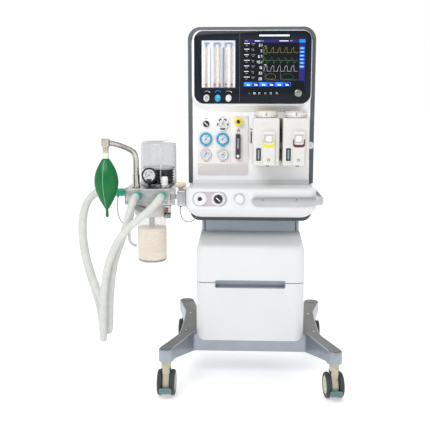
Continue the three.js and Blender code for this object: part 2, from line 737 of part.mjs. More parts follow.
function bellowsDome() {
  const { x, y, radius: r, wall, low, high } = DOME;
  const shell = [
    [r - wall, low], [r, low], [r, high - 8], [r - 2.5, high - 2.5], [r - 8, high], [0, high],
  ];
  const inner = [[0, high - wall], [r - wall - 6, high - wall], [r - wall, high - wall - 7]];
  return turned([...shell, ...inner, [r - wall, low]], 24).translate([x, y, 0]);
}
piece('bellows_dome', bellowsDome(), 'clear');

function bellows() {
  const { low, high, outer, inner, folds } = BELLOWS;
  const pitch = (high - low) / folds;
  const profile = [[0, low], [inner, low]];
  for (let i = 0; i < folds; i += 1) {
    profile.push([outer, low + pitch * (i + 0.5)], [inner, low + pitch * (i + 1)]);
  }
  profile.push([0, high]);
  return turned(profile, 20).translate([DOME.x, DOME.y, 0]);
}
piece('bellows', bellows(), 'black');
piece('bellows_disk', turned(
  [[0, 762.3], [57, 762.3], [59, 764], [59, 768], [57, 770], [0, 770]], 24,
).translate([DOME.x, DOME.y, 0]), 'white');

function airwayGauge() {
  const [x, y, z] = [-364, -100, 746];
  const foot = BLOCK.high + GAP;
  const can = turned([[0, 0], [20, 0], [24, 5], [24, 24], [22, 28], [0, 28]])
    .rotate([84, 0, 0])
    .translate([x, y + 12, z]);
  const stem = turned([[0, foot], [5, foot], [6, 712], [17, 730], [0, 730]], 16);
  return join(can, stem.translate([x, y, 0]));
}
piece('airway_gauge', airwayGauge(), 'black');

piece('pressure_limit_valve', turned([
  [0, BLOCK.high + GAP], [19, BLOCK.high + GAP], [20, 706], [20, 709], [18, 711.5], [12.5, 713],
  [12.5, 739], [10.5, 743], [0, 743],
], 20).translate([-310, -100, 0]), 'white');

function bagArm() {
  const { x, y, low, collar, tube } = BAG_ARM;
  const sleeve = rodZ(x, y, low, collar, 13);
  const path = [
    [x, y, collar - 6], [x, y, 790], [x - 1, y - 1, 812], [x - 8, y - 10, 832],
    [x - 28, y - 33, 848], [x - 55, y - 66, 862], [x - 72, y - 87, 868], [BAG.x, BAG.y, 869],
  ];
  const head = turned([[0, 853], [12, 853], [15.5, 857], [15.5, 883], [14, 884], [0, 884]], 16);
  const neck = rodZ(0, 0, BAG.cuff + GAP, 855, tube);
  return join(sleeve, rodAlong(path, tube, 10, 18), join(head, neck).translate([BAG.x, BAG.y, 0]));
}
piece('bag_arm', bagArm(), 'chrome');

function breathingBag() {
  const { x, y, radius, depth, tail, low, high, cuff } = BAG;
  const profile = [[0, tail], [5, tail], [5, low - 2]];
  const rows = 10;
  for (let i = 1; i < rows; i += 1) {
    const t = i / rows;
    const swell = Math.sin(Math.PI * t ** 1.08) ** 0.85;
    profile.push([Math.max(5, 6 + (radius - 6) * swell), low + (high - low) * t]);
  }
  profile.push([11, high], [11, cuff], [0, cuff]);
  return turned(profile, 16).scale([1, depth, 1]).translate([x, y, 0]);
}
piece('breathing_bag', breathingBag(), 'green');

// A rigid elbow and fork that brings both hoses together behind the bag.
function yPiece() {
  const { x, y, z, radius } = JOINT;
  const middle = (y[0] + y[1]) / 2;
  const elbow = rodX(-490, BLOCK.left - GAP, middle, z, radius + 1);
  const branches = y.map((end) => {
    const part = (share) => middle + (end - middle) * share;
    return rodAlong([
      [-482, middle, z], [-500, part(0.35), z], [-518, part(0.9), z], [x + 10, end, z], [x, end, z],
    ], radius, 10, 6);
  });
  return join(elbow, ...branches);
}
piece('y_piece', yPiece(), 'teal');

// ------------------------------------------------------------------- absorber canister
function canisterHead() {
  const { x, y, radius, high, headHigh } = CANISTER;
  const cap = turned([
    [0, high + GAP], [58, high + GAP], [61, high + 6], [61, headHigh - 3], [60, headHigh],
    [0, headHigh],
  ], 24).translate([x, y, 0]);
  const trap = box(-316, -288, -110, -70, 588, headHigh);
  const strap = rodAlong([
    [x - 58, y, 622], [-434, y, 618], [-446, y, 604], [-449, y, 570], [-449, y, 520],
    [-446, y, 496], [-434, y, 484], [x - radius - 4, y, 478],
  ], 5, 8, 14);
  const canisterRoom = rodZ(x, y, 400, high + 0.05, radius + GAP, 24);
  return cut(join(cap, trap, strap), canisterRoom);
}
piece('canister_head', canisterHead(), 'cream');

piece('absorber_canister', turned([
  [0, CANISTER.low], [CANISTER.radius - 9, CANISTER.low], [CANISTER.radius - 3, CANISTER.low + 3],
  [CANISTER.radius, CANISTER.low + 10], [CANISTER.radius, CANISTER.high], [0, CANISTER.high],
], 24).translate([CANISTER.x, CANISTER.y, 0]), 'lime');

// ----------------------------------------------------------------- hoses and thin lines
const HOSE_PATHS = {
  breathing_hose_left: [
    [-406, -168.5, 678], [-406, -184, 678], [-408, -204, 670], [-413, -219, 651], [-420, -225, 625],
    [-430, -227, 590], [-443, -226, 547], [-458, -224, 505], [-472, -223, 464], [-483, -223, 410],
    [-490, -224, 355], [-494, -225, 305], [-496, -224, 262], [-500, -215, 222], [-507, -193, 197],
    [-515, -163, 189], [-524, -133, 200], [-534, -112, 230], [-547, -106, 275], [-566, -106, 330],
    [-585, -106, 390], [-599, -106, 445], [-607, -106, 500], [-609, -106, 555], [-604, -106, 605],
    [-592, -106, 645], [-574, -106, 671], [-556, -106, 683], [-541, -106, 684],
  ],
  breathing_hose_right: [
    [-317, -168.5, 678], [-317, -184, 678], [-321, -206, 671], [-334, -226, 655], [-357, -242, 634],
    [-390, -253, 607], [-422, -257, 578], [-450, -257, 543], [-472, -256, 503], [-490, -255, 455],
    [-502, -255, 405], [-509, -256, 350], [-512, -257, 300], [-514, -254, 252], [-518, -238, 204],
    [-526, -203, 169], [-535, -162, 159], [-545, -120, 171], [-555, -89, 202], [-565, -75, 248],
    [-580, -73, 305], [-597, -74, 365], [-611, -74, 425], [-620, -74, 480], [-623, -74, 535],
    [-619, -74, 590], [-605, -74, 634], [-584, -74, 666], [-560, -74, 683], [-541, -74, 684],
  ],
};
for (const [name, path] of Object.entries(HOSE_PATHS)) {
  piece(name, rodAlong(path, HOSE.radius, HOSE.sides, HOSE.steps), 'hose');
}

const WIRE_PATHS = {
  sampling_line: [
    [-480, -102, 668], [-481, -104, 655], [-482, -106, 635], [-480, -108, 612], [-475, -108, 592],
    [-468, -104, 577], [-460, -96, 567], [-452, -86, 563], [-444, -76, 567], [-437, -68, 578],
    [-431, -62, 596], [-428, -60, 614],
  ],
  sensor_wire: [
    [-252, -110, 639.5], [-253, -112, 625], [-251, -116, 608], [-245, -120, 594], [-234, -124, 585],
    [-220, -127, 583], [-208, -129, 587], [-199, -130, 595], [-193, -130, 605],
  ],
};
for (const [name, path] of Object.entries(WIRE_PATHS)) {
  piece(name, rodAlong(path, WIRE.radius, WIRE.sides, WIRE.steps), 'wire');
}

export default machine;
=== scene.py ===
import math
import random

import bmesh
import bpy
from mathutils import Matrix, Vector


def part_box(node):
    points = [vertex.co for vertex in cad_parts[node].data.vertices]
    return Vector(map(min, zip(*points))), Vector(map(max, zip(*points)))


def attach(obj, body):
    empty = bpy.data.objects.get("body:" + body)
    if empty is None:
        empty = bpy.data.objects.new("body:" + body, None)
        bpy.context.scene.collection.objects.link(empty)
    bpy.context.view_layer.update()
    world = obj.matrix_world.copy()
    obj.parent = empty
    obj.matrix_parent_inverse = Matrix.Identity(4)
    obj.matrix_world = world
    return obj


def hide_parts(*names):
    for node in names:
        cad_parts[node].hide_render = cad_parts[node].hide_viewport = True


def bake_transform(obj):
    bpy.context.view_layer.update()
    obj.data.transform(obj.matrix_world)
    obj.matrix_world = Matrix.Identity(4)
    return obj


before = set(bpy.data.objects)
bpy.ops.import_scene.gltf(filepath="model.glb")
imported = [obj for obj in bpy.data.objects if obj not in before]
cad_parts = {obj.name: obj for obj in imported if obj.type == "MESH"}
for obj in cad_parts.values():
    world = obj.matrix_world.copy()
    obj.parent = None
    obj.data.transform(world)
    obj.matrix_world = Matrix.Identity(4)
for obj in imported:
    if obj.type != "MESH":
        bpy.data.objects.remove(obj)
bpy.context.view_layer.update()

# Shapes are written in millimetres in the machine's own axes: X = 0 on its centre line,
# -Y its front, Z = 0 the floor. place() turns them into the frame's metres.
MM = 0.001
WORKTOP_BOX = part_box("worktop")
WORKTOP_BACK = 165
ORIGIN = Vector((
    (WORKTOP_BOX[0].x + WORKTOP_BOX[1].x) / 2, WORKTOP_BOX[1].y - WORKTOP_BACK * MM, 0,
))


def place(point):
    return ORIGIN + Vector(point) * MM


def show(name, data):
    """An object for a mesh, a light or a camera, in the scene."""
    item = bpy.data.objects.new(name, data)
    bpy.context.scene.collection.objects.link(item)
    return item


# ------------------------------------------------------------------- camera and light
CAMERA_SPOT = (-24.5, -2547.9, 1007.9)
CAMERA_DOWN, CAMERA_LEFT = 9.36, 2.43  # degrees


def make_camera():
    data = bpy.data.cameras.new("camera")
    data.lens, data.sensor_width = 57.47, 36
    camera = show("camera", data)
    camera.location = place(CAMERA_SPOT)
    camera.rotation_euler = (math.radians(90 - CAMERA_DOWN), 0, math.radians(CAMERA_LEFT))
    bpy.context.scene.camera = camera


def area_light(name, spot, aim, size, watts):
    """A round lamp at a spot in metres, turned to another."""
    data = bpy.data.lights.new(name, "AREA")
    data.shape, data.size, data.energy = "DISK", size, watts
    lamp = show(name, data)
    lamp.location = spot
    lamp.rotation_euler = (Vector(aim) - Vector(spot)).to_track_quat("-Z", "Y").to_euler()


def make_world():
    """A soft grey in front that turns white behind the machine and near the horizon."""
    world = bpy.data.worlds.new("studio")
    bpy.context.scene.world = world
    world.use_nodes = True
    nodes, links = world.node_tree.nodes, world.node_tree.links
    nodes.clear()
    way = nodes.new("ShaderNodeTexCoord")
    split = nodes.new("ShaderNodeSeparateXYZ")
    ramp = nodes.new("ShaderNodeValToRGB")
    sky = nodes.new("ShaderNodeBackground")
    out = nodes.new("ShaderNodeOutputWorld")
    ramp.color_ramp.elements[0].position = 0.30
    ramp.color_ramp.elements[0].color = (0.45, 0.455, 0.47, 1)
    ramp.color_ramp.elements[1].position = 0.62
    ramp.color_ramp.elements[1].color = (1, 1, 1, 1)
    total = nodes.new("ShaderNodeMath")
    links.new(way.outputs["Generated"], split.inputs[0])
    for i, (axis, limits) in enumerate((("Y", (-1, 1, 0, 1)), ("Z", (0.02, 0.13, 1, 0)))):
        level = nodes.new("ShaderNodeMapRange")
        for socket, value in zip(("From Min", "From Max", "To Min", "To Max"), limits):
            level.inputs[socket].default_value = value
        links.new(split.outputs[axis], level.inputs["Value"])
        links.new(level.outputs[0], total.inputs[i])
    links.new(total.outputs[0], ramp.inputs[0])
    links.new(ramp.outputs[0], sky.inputs["Color"])
    links.new(sky.outputs[0], out.inputs["Surface"])


make_camera()
make_world()
area_light("key", (-1.3, -2.1, 2.5), (0.05, 0, 0.85), 1.2, 25)
area_light("face", (-0.25, -1.45, 2.0), (0.1, 0, 1.0), 0.8, 7)
area_light("fill", (2.3, -2.0, 1.5), (0.1, 0, 0.6), 1.6, 8)
area_light("back", (0.4, 2.6, 2.2), (0.1, 0, 0.8), 1.6, 16)
bpy.context.scene.view_settings.view_transform = "Standard"


# -------------------------------------------------------------------------- materials
def material(
    name, color, rough=0.45, metal=0.0, mottle=0.05, mottle_size=60, grain=0.0,
    grain_size=1.6, scuff=0.06, stretch=(1, 1, 1), **sockets,
):
    """A surface with broad colour variation, uneven gloss and a fine grain, sizes in mm."""
    made = bpy.data.materials.new(name)
    made.use_nodes = True
    nodes, links = made.node_tree.nodes, made.node_tree.links
    shader = nodes["Principled BSDF"]
    shader.inputs["Metallic"].default_value = metal
    for socket, value in sockets.items():
        shader.inputs[socket.replace("_", " ")].default_value = value
    place_of = nodes.new("ShaderNodeTexCoord")
    scaled = nodes.new("ShaderNodeMapping")
    scaled.inputs["Scale"].default_value = stretch
    links.new(place_of.outputs["Object"], scaled.inputs["Vector"])

    def noise(size, detail):
        texture = nodes.new("ShaderNodeTexNoise")
        texture.inputs["Scale"].default_value = 1000 / size
        texture.inputs["Detail"].default_value = detail
        links.new(scaled.outputs[0], texture.inputs["Vector"])
        return texture.outputs["Fac"]

    ramp = nodes.new("ShaderNodeValToRGB")
    for element, share in zip(ramp.color_ramp.elements, (1 - mottle, 1 + mottle * 0.6)):
        element.color = (*(min(1, c * share) for c in color[:3]), 1)
    ramp.color_ramp.elements[0].position, ramp.color_ramp.elements[1].position = 0.3, 0.7
    links.new(noise(mottle_size, 3), ramp.inputs[0])
    links.new(ramp.outputs[0], shader.inputs["Base Color"])
    gloss = nodes.new("ShaderNodeMapRange")
    gloss.inputs["To Min"].default_value = max(0.02, rough - scuff)
    gloss.inputs["To Max"].default_value = min(1, rough + scuff)
    links.new(noise(mottle_size * 0.4, 4), gloss.inputs["Value"])
    links.new(gloss.outputs[0], shader.inputs["Roughness"])
    if grain:
        bump = nodes.new("ShaderNodeBump")
        bump.inputs["Strength"].default_value = grain
        bump.inputs["Distance"].default_value = 0.0003
        links.new(noise(grain_size, 2), bump.inputs["Height"])
        links.new(bump.outputs[0], shader.inputs["Normal"])
    return made


def lit(name, color, strength):
    """A lit part of the display."""
    made = material(name, color, 0.25, mottle=0.02, mottle_size=8)
    shader = made.node_tree.nodes["Principled BSDF"]
    shader.inputs["Emission Color"].default_value = (*color, 1)
    shader.inputs["Emission Strength"].default_value = strength
    shader.inputs["Specular IOR Level"].default_value = 0.15
    return made


def granules():
    """Soda lime pellets about 3 mm across, with a painted glow and painted shade between the pellets."""
    # The faint emission is a painted glow: it brightens the lime where the block above shades it.
    made = material("soda_lime_painted_light", (0.84, 0.75, 0.62), 0.85,
                    Emission_Color=(1, 0.91, 0.80, 1), Emission_Strength=0.16)
    nodes, links = made.node_tree.nodes, made.node_tree.links
    shader = nodes["Principled BSDF"]
    cells = nodes.new("ShaderNodeTexVoronoi")
    cells.inputs["Scale"].default_value = 1000 / 3.4
    place_of = nodes.new("ShaderNodeTexCoord")
    links.new(place_of.outputs["Object"], cells.inputs["Vector"])
    # The ramp darkens each pellet towards the edge of its cell: painted shade in the gaps between pellets.
    ramp = nodes.new("ShaderNodeValToRGB")
    ramp.color_ramp.elements[0].color = (1.0, 0.95, 0.86, 1)
    ramp.color_ramp.elements[1].color = (0.74, 0.60, 0.46, 1)
    ramp.color_ramp.elements[1].position = 0.75
    links.new(cells.outputs["Distance"], ramp.inputs[0])
    links.new(ramp.outputs[0], shader.inputs["Base Color"])
    bump = nodes.new("ShaderNodeBump")
    bump.invert = True
    bump.inputs["Strength"].default_value = 0.8
    bump.inputs["Distance"].default_value = 0.001
    links.new(cells.outputs["Distance"], bump.inputs["Height"])
    links.new(bump.outputs[0], shader.inputs["Normal"])
    return made


# The same white plastic in two copies: the first is brightened, painted light for the shaded console and
# front shell; the second is darkened, painted shade for the cabinet, drawer and worktop, which the floor
# lights more.
PAINTED_LIGHT_WHITE = material("white_plastic_painted_light", (0.93, 0.93, 0.925), 0.36, grain=0.10, mottle=0.02, mottle_size=180)
PAINTED_SHADE_WHITE = material(
    "white_plastic_painted_shade", (0.75, 0.755, 0.76), 0.4, grain=0.10, mottle=0.02, mottle_size=180,
)
IVORY_SHELL = material(
    "vaporizer_shell", (0.69, 0.68, 0.655), 0.38, grain=0.10, mottle=0.02, mottle_size=90,
)
PALE = material("pale_plastic", (0.66, 0.66, 0.67), 0.42, grain=0.10, mottle=0.02, mottle_size=120)
DARK = material("dark_shell", (0.095, 0.108, 0.118), 0.42, grain=0.25, mottle=0.08)
TRIM = material("tray_plastic", (0.045, 0.05, 0.055), 0.45, grain=0.25, mottle=0.1)
NECK = material("neck_paint", (0.34, 0.385, 0.44), 0.34, 0.35, grain=0.18, mottle=0.07, mottle_size=90)
SILVER = material("frame_paint", (0.34, 0.37, 0.415), 0.31, 0.85, grain=0.02, grain_size=0.9, mottle=0.05)
# A darker copy of the frame paint for the casting's top and the caster pads: painted shade, the top darker
# than the sides only because of how the light falls.
FRAME_TOP_PAINTED_SHADE = material("frame_top_painted_shade", (0.115, 0.113, 0.110), 0.5, 0.2, grain=0.15, grain_size=1.2, mottle=0.1)
TYRE = material("tyre", (0.040, 0.053, 0.062), 0.6, grain=0.35, mottle=0.15, mottle_size=12)
KHAKI = material("khaki_nylon", (0.56, 0.53, 0.38), 0.45, grain=0.2, mottle=0.1, mottle_size=15)
PEDAL = material("pedal_plastic", (0.15, 0.25, 0.26), 0.5, grain=0.3, mottle=0.12, mottle_size=10)
GLASS = material(
    "front_glass", (0.0075, 0.0105, 0.017), 0.16, scuff=0.05, mottle=0.15, Specular_IOR_Level=0.22,
)
BLACK = material("black_plastic", (0.012, 0.012, 0.013), 0.4, grain=0.25, mottle=0.2, mottle_size=10)
RUBBER = material("bellows_rubber", (0.016, 0.017, 0.022), 0.55, grain=0.4, mottle=0.2, mottle_size=9)
CHROME = material("chrome", (0.58, 0.55, 0.50), 0.12, 1.0, mottle=0.03, scuff=0.05)
ALLOY = material(
    "machined_alloy", (0.50, 0.50, 0.505), 0.32, 1.0, grain=0.10, mottle=0.10, mottle_size=22,
    stretch=(1, 1, 6),
)
RAIL = material(
    "brushed_rail", (0.50, 0.51, 0.53), 0.30, 1.0, grain=0.05, grain_size=0.8, mottle=0.05,
    stretch=(1, 1, 8),
)
BLUE = material("blue_plastic", (0.010, 0.36, 0.62), 0.3, grain=0.1, mottle=0.06)
YELLOW = material("yellow_plastic", (0.78, 0.68, 0.010), 0.33, grain=0.1, mottle=0.06)
PLUM = material("plum_plastic", (0.12, 0.012, 0.045), 0.35, grain=0.1, mottle=0.08)
MAUVE = material("recess_paint", (0.52, 0.475, 0.505), 0.45, grain=0.15, mottle=0.04)
PANEL = material("panel_print", (0.85, 0.825, 0.81), 0.5, grain=0.12, mottle=0.03)
BAND = material("panel_band", (0.74, 0.68, 0.58), 0.5, grain=0.12, mottle=0.04)
PANEL_LOW = material("panel_foot", (0.66, 0.635, 0.64), 0.5, grain=0.12, mottle=0.04)
PAPER = material("dial_print", (0.90, 0.90, 0.915), 0.35, mottle=0.03, mottle_size=20)
INK = material("ink", (0.03, 0.03, 0.035), 0.5, mottle=0.1)
GREY_INK = material("grey_ink", (0.28, 0.28, 0.30), 0.5, mottle=0.1)
SEAM_GREY = material("seam_grey", (0.56, 0.565, 0.58), 0.5, mottle=0.1)
OLIVE = material("olive_line", (0.085, 0.085, 0.03), 0.4, mottle=0.2, mottle_size=15)
BAR = material("back_bar", (0.16, 0.165, 0.13), 0.45, 0.2, grain=0.3, mottle=0.2, mottle_size=25)
SLATE = material("sight_glass", (0.26, 0.33, 0.37), 0.2, mottle=0.08)
ENCODER = material("encoder_metal", (0.34, 0.355, 0.30), 0.24, 1.0, mottle=0.08, mottle_size=8)
HEAD = material("canister_head", (0.60, 0.575, 0.53), 0.35, grain=0.08, mottle=0.08, mottle_size=20)
COLUMN = material("tube_column", (0.82, 0.79, 0.76), 0.4, mottle=0.03, mottle_size=20)
IVORY = material("ivory_knob", (0.80, 0.74, 0.58), 0.36, grain=0.1, mottle=0.08, mottle_size=14)
TEAL = material("teal_fitting", (0.022, 0.47, 0.33), 0.32, grain=0.12, mottle=0.08, mottle_size=12)
HOSE = material(
    "hose_wall", (0.74, 0.755, 0.72), 0.34, grain=0.1, mottle=0.05, mottle_size=25,
    Transmission_Weight=0.12, Subsurface_Weight=0.15, Subsurface_Radius=(0.004, 0.004, 0.004),
)
WIRE = material("wire", (0.20, 0.205, 0.21), 0.45, grain=0.2, mottle=0.08)
CLEAR = material(
    "clear_wall", (0.79, 0.80, 0.805), 0.05, scuff=0.03, mottle=0.015, mottle_size=35,
    Transmission_Weight=1.0, IOR=1.30,
)
SMOKY = material(
    "smoky_wall", (0.80, 0.80, 0.77), 0.10, scuff=0.05, mottle=0.05, mottle_size=25,
    Transmission_Weight=0.92, IOR=1.25,
)
HAZE = material("hazy_wall", (0.80, 0.80, 0.78), 0.14, scuff=0.05, mottle=0.04, mottle_size=25, Alpha=0.16)
# A milky strip material for the dome: a painted highlight, standing in for the bright vertical reflection on
# its wall.
DOME_PAINTED_HIGHLIGHT = material("dome_painted_highlight", (0.88, 0.89, 0.90), 0.3, mottle=0.04, mottle_size=25, Alpha=0.55)
# The bag's seams in a lighter green: real seams, their lighter colour a painted highlight on the ridges.
BAG_SEAM_PAINTED_HIGHLIGHT = material("bag_seam_painted_highlight", (0.16, 0.46, 0.25), 0.35, mottle=0.08, mottle_size=10)
TUBE_GLASS = material("tube_glass", (0.95, 0.96, 0.97), 0.04, mottle=0.01, Transmission_Weight=1.0, IOR=1.2)
BAG = material(
    "bag_rubber", (0.003, 0.150, 0.036), 0.30, grain=0.06, grain_size=1.0, mottle=0.06, mottle_size=40,
    Specular_IOR_Level=0.28, Coat_Weight=0.06, Coat_Roughness=0.12,
)
BAG_COLLAR = material("bag_collar", (0.74, 0.80, 0.66), 0.4, grain=0.12, mottle=0.06)
TIN = material("steel_screw", (0.45, 0.45, 0.46), 0.25, 1.0, mottle=0.08, mottle_size=8)
RED = material("red_float", (0.55, 0.02, 0.045), 0.35, mottle=0.08)
PALE_BLUE = material("pale_blue_print", (0.66, 0.72, 0.80), 0.45, mottle=0.03)
SODA_LIME_PAINTED_LIGHT = granules()
SCREEN = lit("screen_black", (0.004, 0.005, 0.007), 0.5)
INDIGO = lit("screen_indigo", (0.012, 0.012, 0.085), 1.0)
AZURE = lit("screen_blue", (0.010, 0.14, 0.62), 0.95)
GLOW_WHITE = lit("screen_white", (0.62, 0.64, 0.66), 0.7)
GLOW_GREY = lit("screen_grey", (0.22, 0.23, 0.25), 0.6)
GLOW_YELLOW = lit("screen_yellow", (0.36, 0.32, 0.06), 0.7)
GLOW_GREEN = lit("screen_green", (0.02, 0.22, 0.05), 0.7)


# ---------------------------------------------------------------------------- shapes
def arc(u, v, radius, start, end, steps=12):
    turns = [math.radians(start + (end - start) * i / steps) for i in range(steps + 1)]
    return [(u + radius * math.cos(t), v + radius * math.sin(t)) for t in turns]


def rounded(u0, u1, v0, v1, radius, steps=8):
    """A rounded rectangle, anticlockwise; radius is a number, or (low end, high end)."""
    low, high = radius if isinstance(radius, tuple) else (radius, radius)
    return (
        arc(u1 - low, v0 + low, low, -90, 0, steps)
        + arc(u1 - high, v1 - high, high, 0, 90, steps)
        + arc(u0 + high, v1 - high, high, 90, 180, steps)
        + arc(u0 + low, v0 + low, low, 180, 270, steps)
    )


def soften(line, radius, steps=3, closed=False):
    """The line again, with its corners rounded."""
    line = [Vector(p) for p in line]
    made = []
    for i, corner in enumerate(line):
        if not closed and i in (0, len(line) - 1):
            made.append(corner)
            continue
        before, after = line[i - 1] - corner, line[(i + 1) % len(line)] - corner
        a = corner + before.normalized() * min(radius, before.length * 0.45)
        b = corner + after.normalized() * min(radius, after.length * 0.45)
        for k in range(steps + 1):
            t = k / steps
            made.append(a * (1 - t) ** 2 + corner * (2 * t * (1 - t)) + b * t * t)
    return [tuple(p) for p in made]


def inset(outline, depth):
    """An anticlockwise outline moved inwards."""
    made = []
    for i, corner in enumerate(outline):
        ways = []
        for a, b in ((outline[i - 1], corner), (corner, outline[(i + 1) % len(outline)])):
            step = Vector((b[0] - a[0], b[1] - a[1]))
            if step.length > 1e-6:
                ways.append(Vector((-step.y, step.x)).normalized())
        way = sum(ways, Vector((0, 0))).normalized() if ways else Vector((0, 0))
        reach = depth / max(0.4, way.dot(ways[0])) if ways else 0
        made.append((corner[0] + way.x * reach, corner[1] + way.y * reach))
    return made


def circle(radius, sides):
    turns = [2 * math.pi * i / sides for i in range(sides)]
    return [(radius * math.cos(t), radius * math.sin(t)) for t in turns]


def spin(point, axis, angle):
    """A turn about an axis by an angle in radians, then a move to a point."""
    return Matrix.Translation(point) @ Matrix.Rotation(angle, 4, axis)


# Where an outline's [across, up] point goes, and where a turned [cos, sin] point goes, at a
# height along each axis; on y, a turned body's heights count towards the front.
LAY = {
    "z": lambda u, v, h: (u, v, h),
    "y": lambda u, v, h: (u, h, v),
    "x": lambda u, v, h: (h, u, v),
}
TURN = {
    "z": lambda c, s, h: (c, s, h),
    "y": lambda c, s, h: (c, -h, s),
    "x": lambda c, s, h: (h, c, s),
}


def smooth_path(points, step):
    """Points a step apart on one smooth line through the given points."""
    line = [Vector(p) for p in points]
    line = [line[0] * 2 - line[1], *line, line[-1] * 2 - line[-2]]
    fine = []
    for p0, p1, p2, p3 in zip(line, line[1:], line[2:], line[3:]):
        t0, t1 = 0.0, (p1 - p0).length ** 0.5
        t2 = t1 + (p2 - p1).length ** 0.5
        t3 = t2 + (p3 - p2).length ** 0.5
        parts = max(4, int((p2 - p1).length / step * 2))
        for k in range(parts):
            t = t1 + (t2 - t1) * k / parts
            a1 = p0 * ((t1 - t) / (t1 - t0)) + p1 * ((t - t0) / (t1 - t0))
            a2 = p1 * ((t2 - t) / (t2 - t1)) + p2 * ((t - t1) / (t2 - t1))
            a3 = p2 * ((t3 - t) / (t3 - t2)) + p3 * ((t - t2) / (t3 - t2))
            b1 = a1 * ((t2 - t) / (t2 - t0)) + a2 * ((t - t0) / (t2 - t0))
            b2 = a2 * ((t3 - t) / (t3 - t1)) + a3 * ((t - t1) / (t3 - t1))
            fine.append(b1 * ((t2 - t) / (t2 - t1)) + b2 * ((t - t1) / (t2 - t1)))
    fine.append(line[-2])
    reach = [0.0]
    for a, b in zip(fine, fine[1:]):
        reach.append(reach[-1] + (b - a).length)
    count = max(2, round(reach[-1] / step))
    made, k = [], 0
    for i in range(count + 1):
        want = reach[-1] * i / count
        while k < len(fine) - 2 and reach[k + 1] < want:
            k += 1
        share = (want - reach[k]) / max(1e-9, reach[k + 1] - reach[k])
        made.append(fine[k].lerp(fine[k + 1], min(1, share)))
    return made


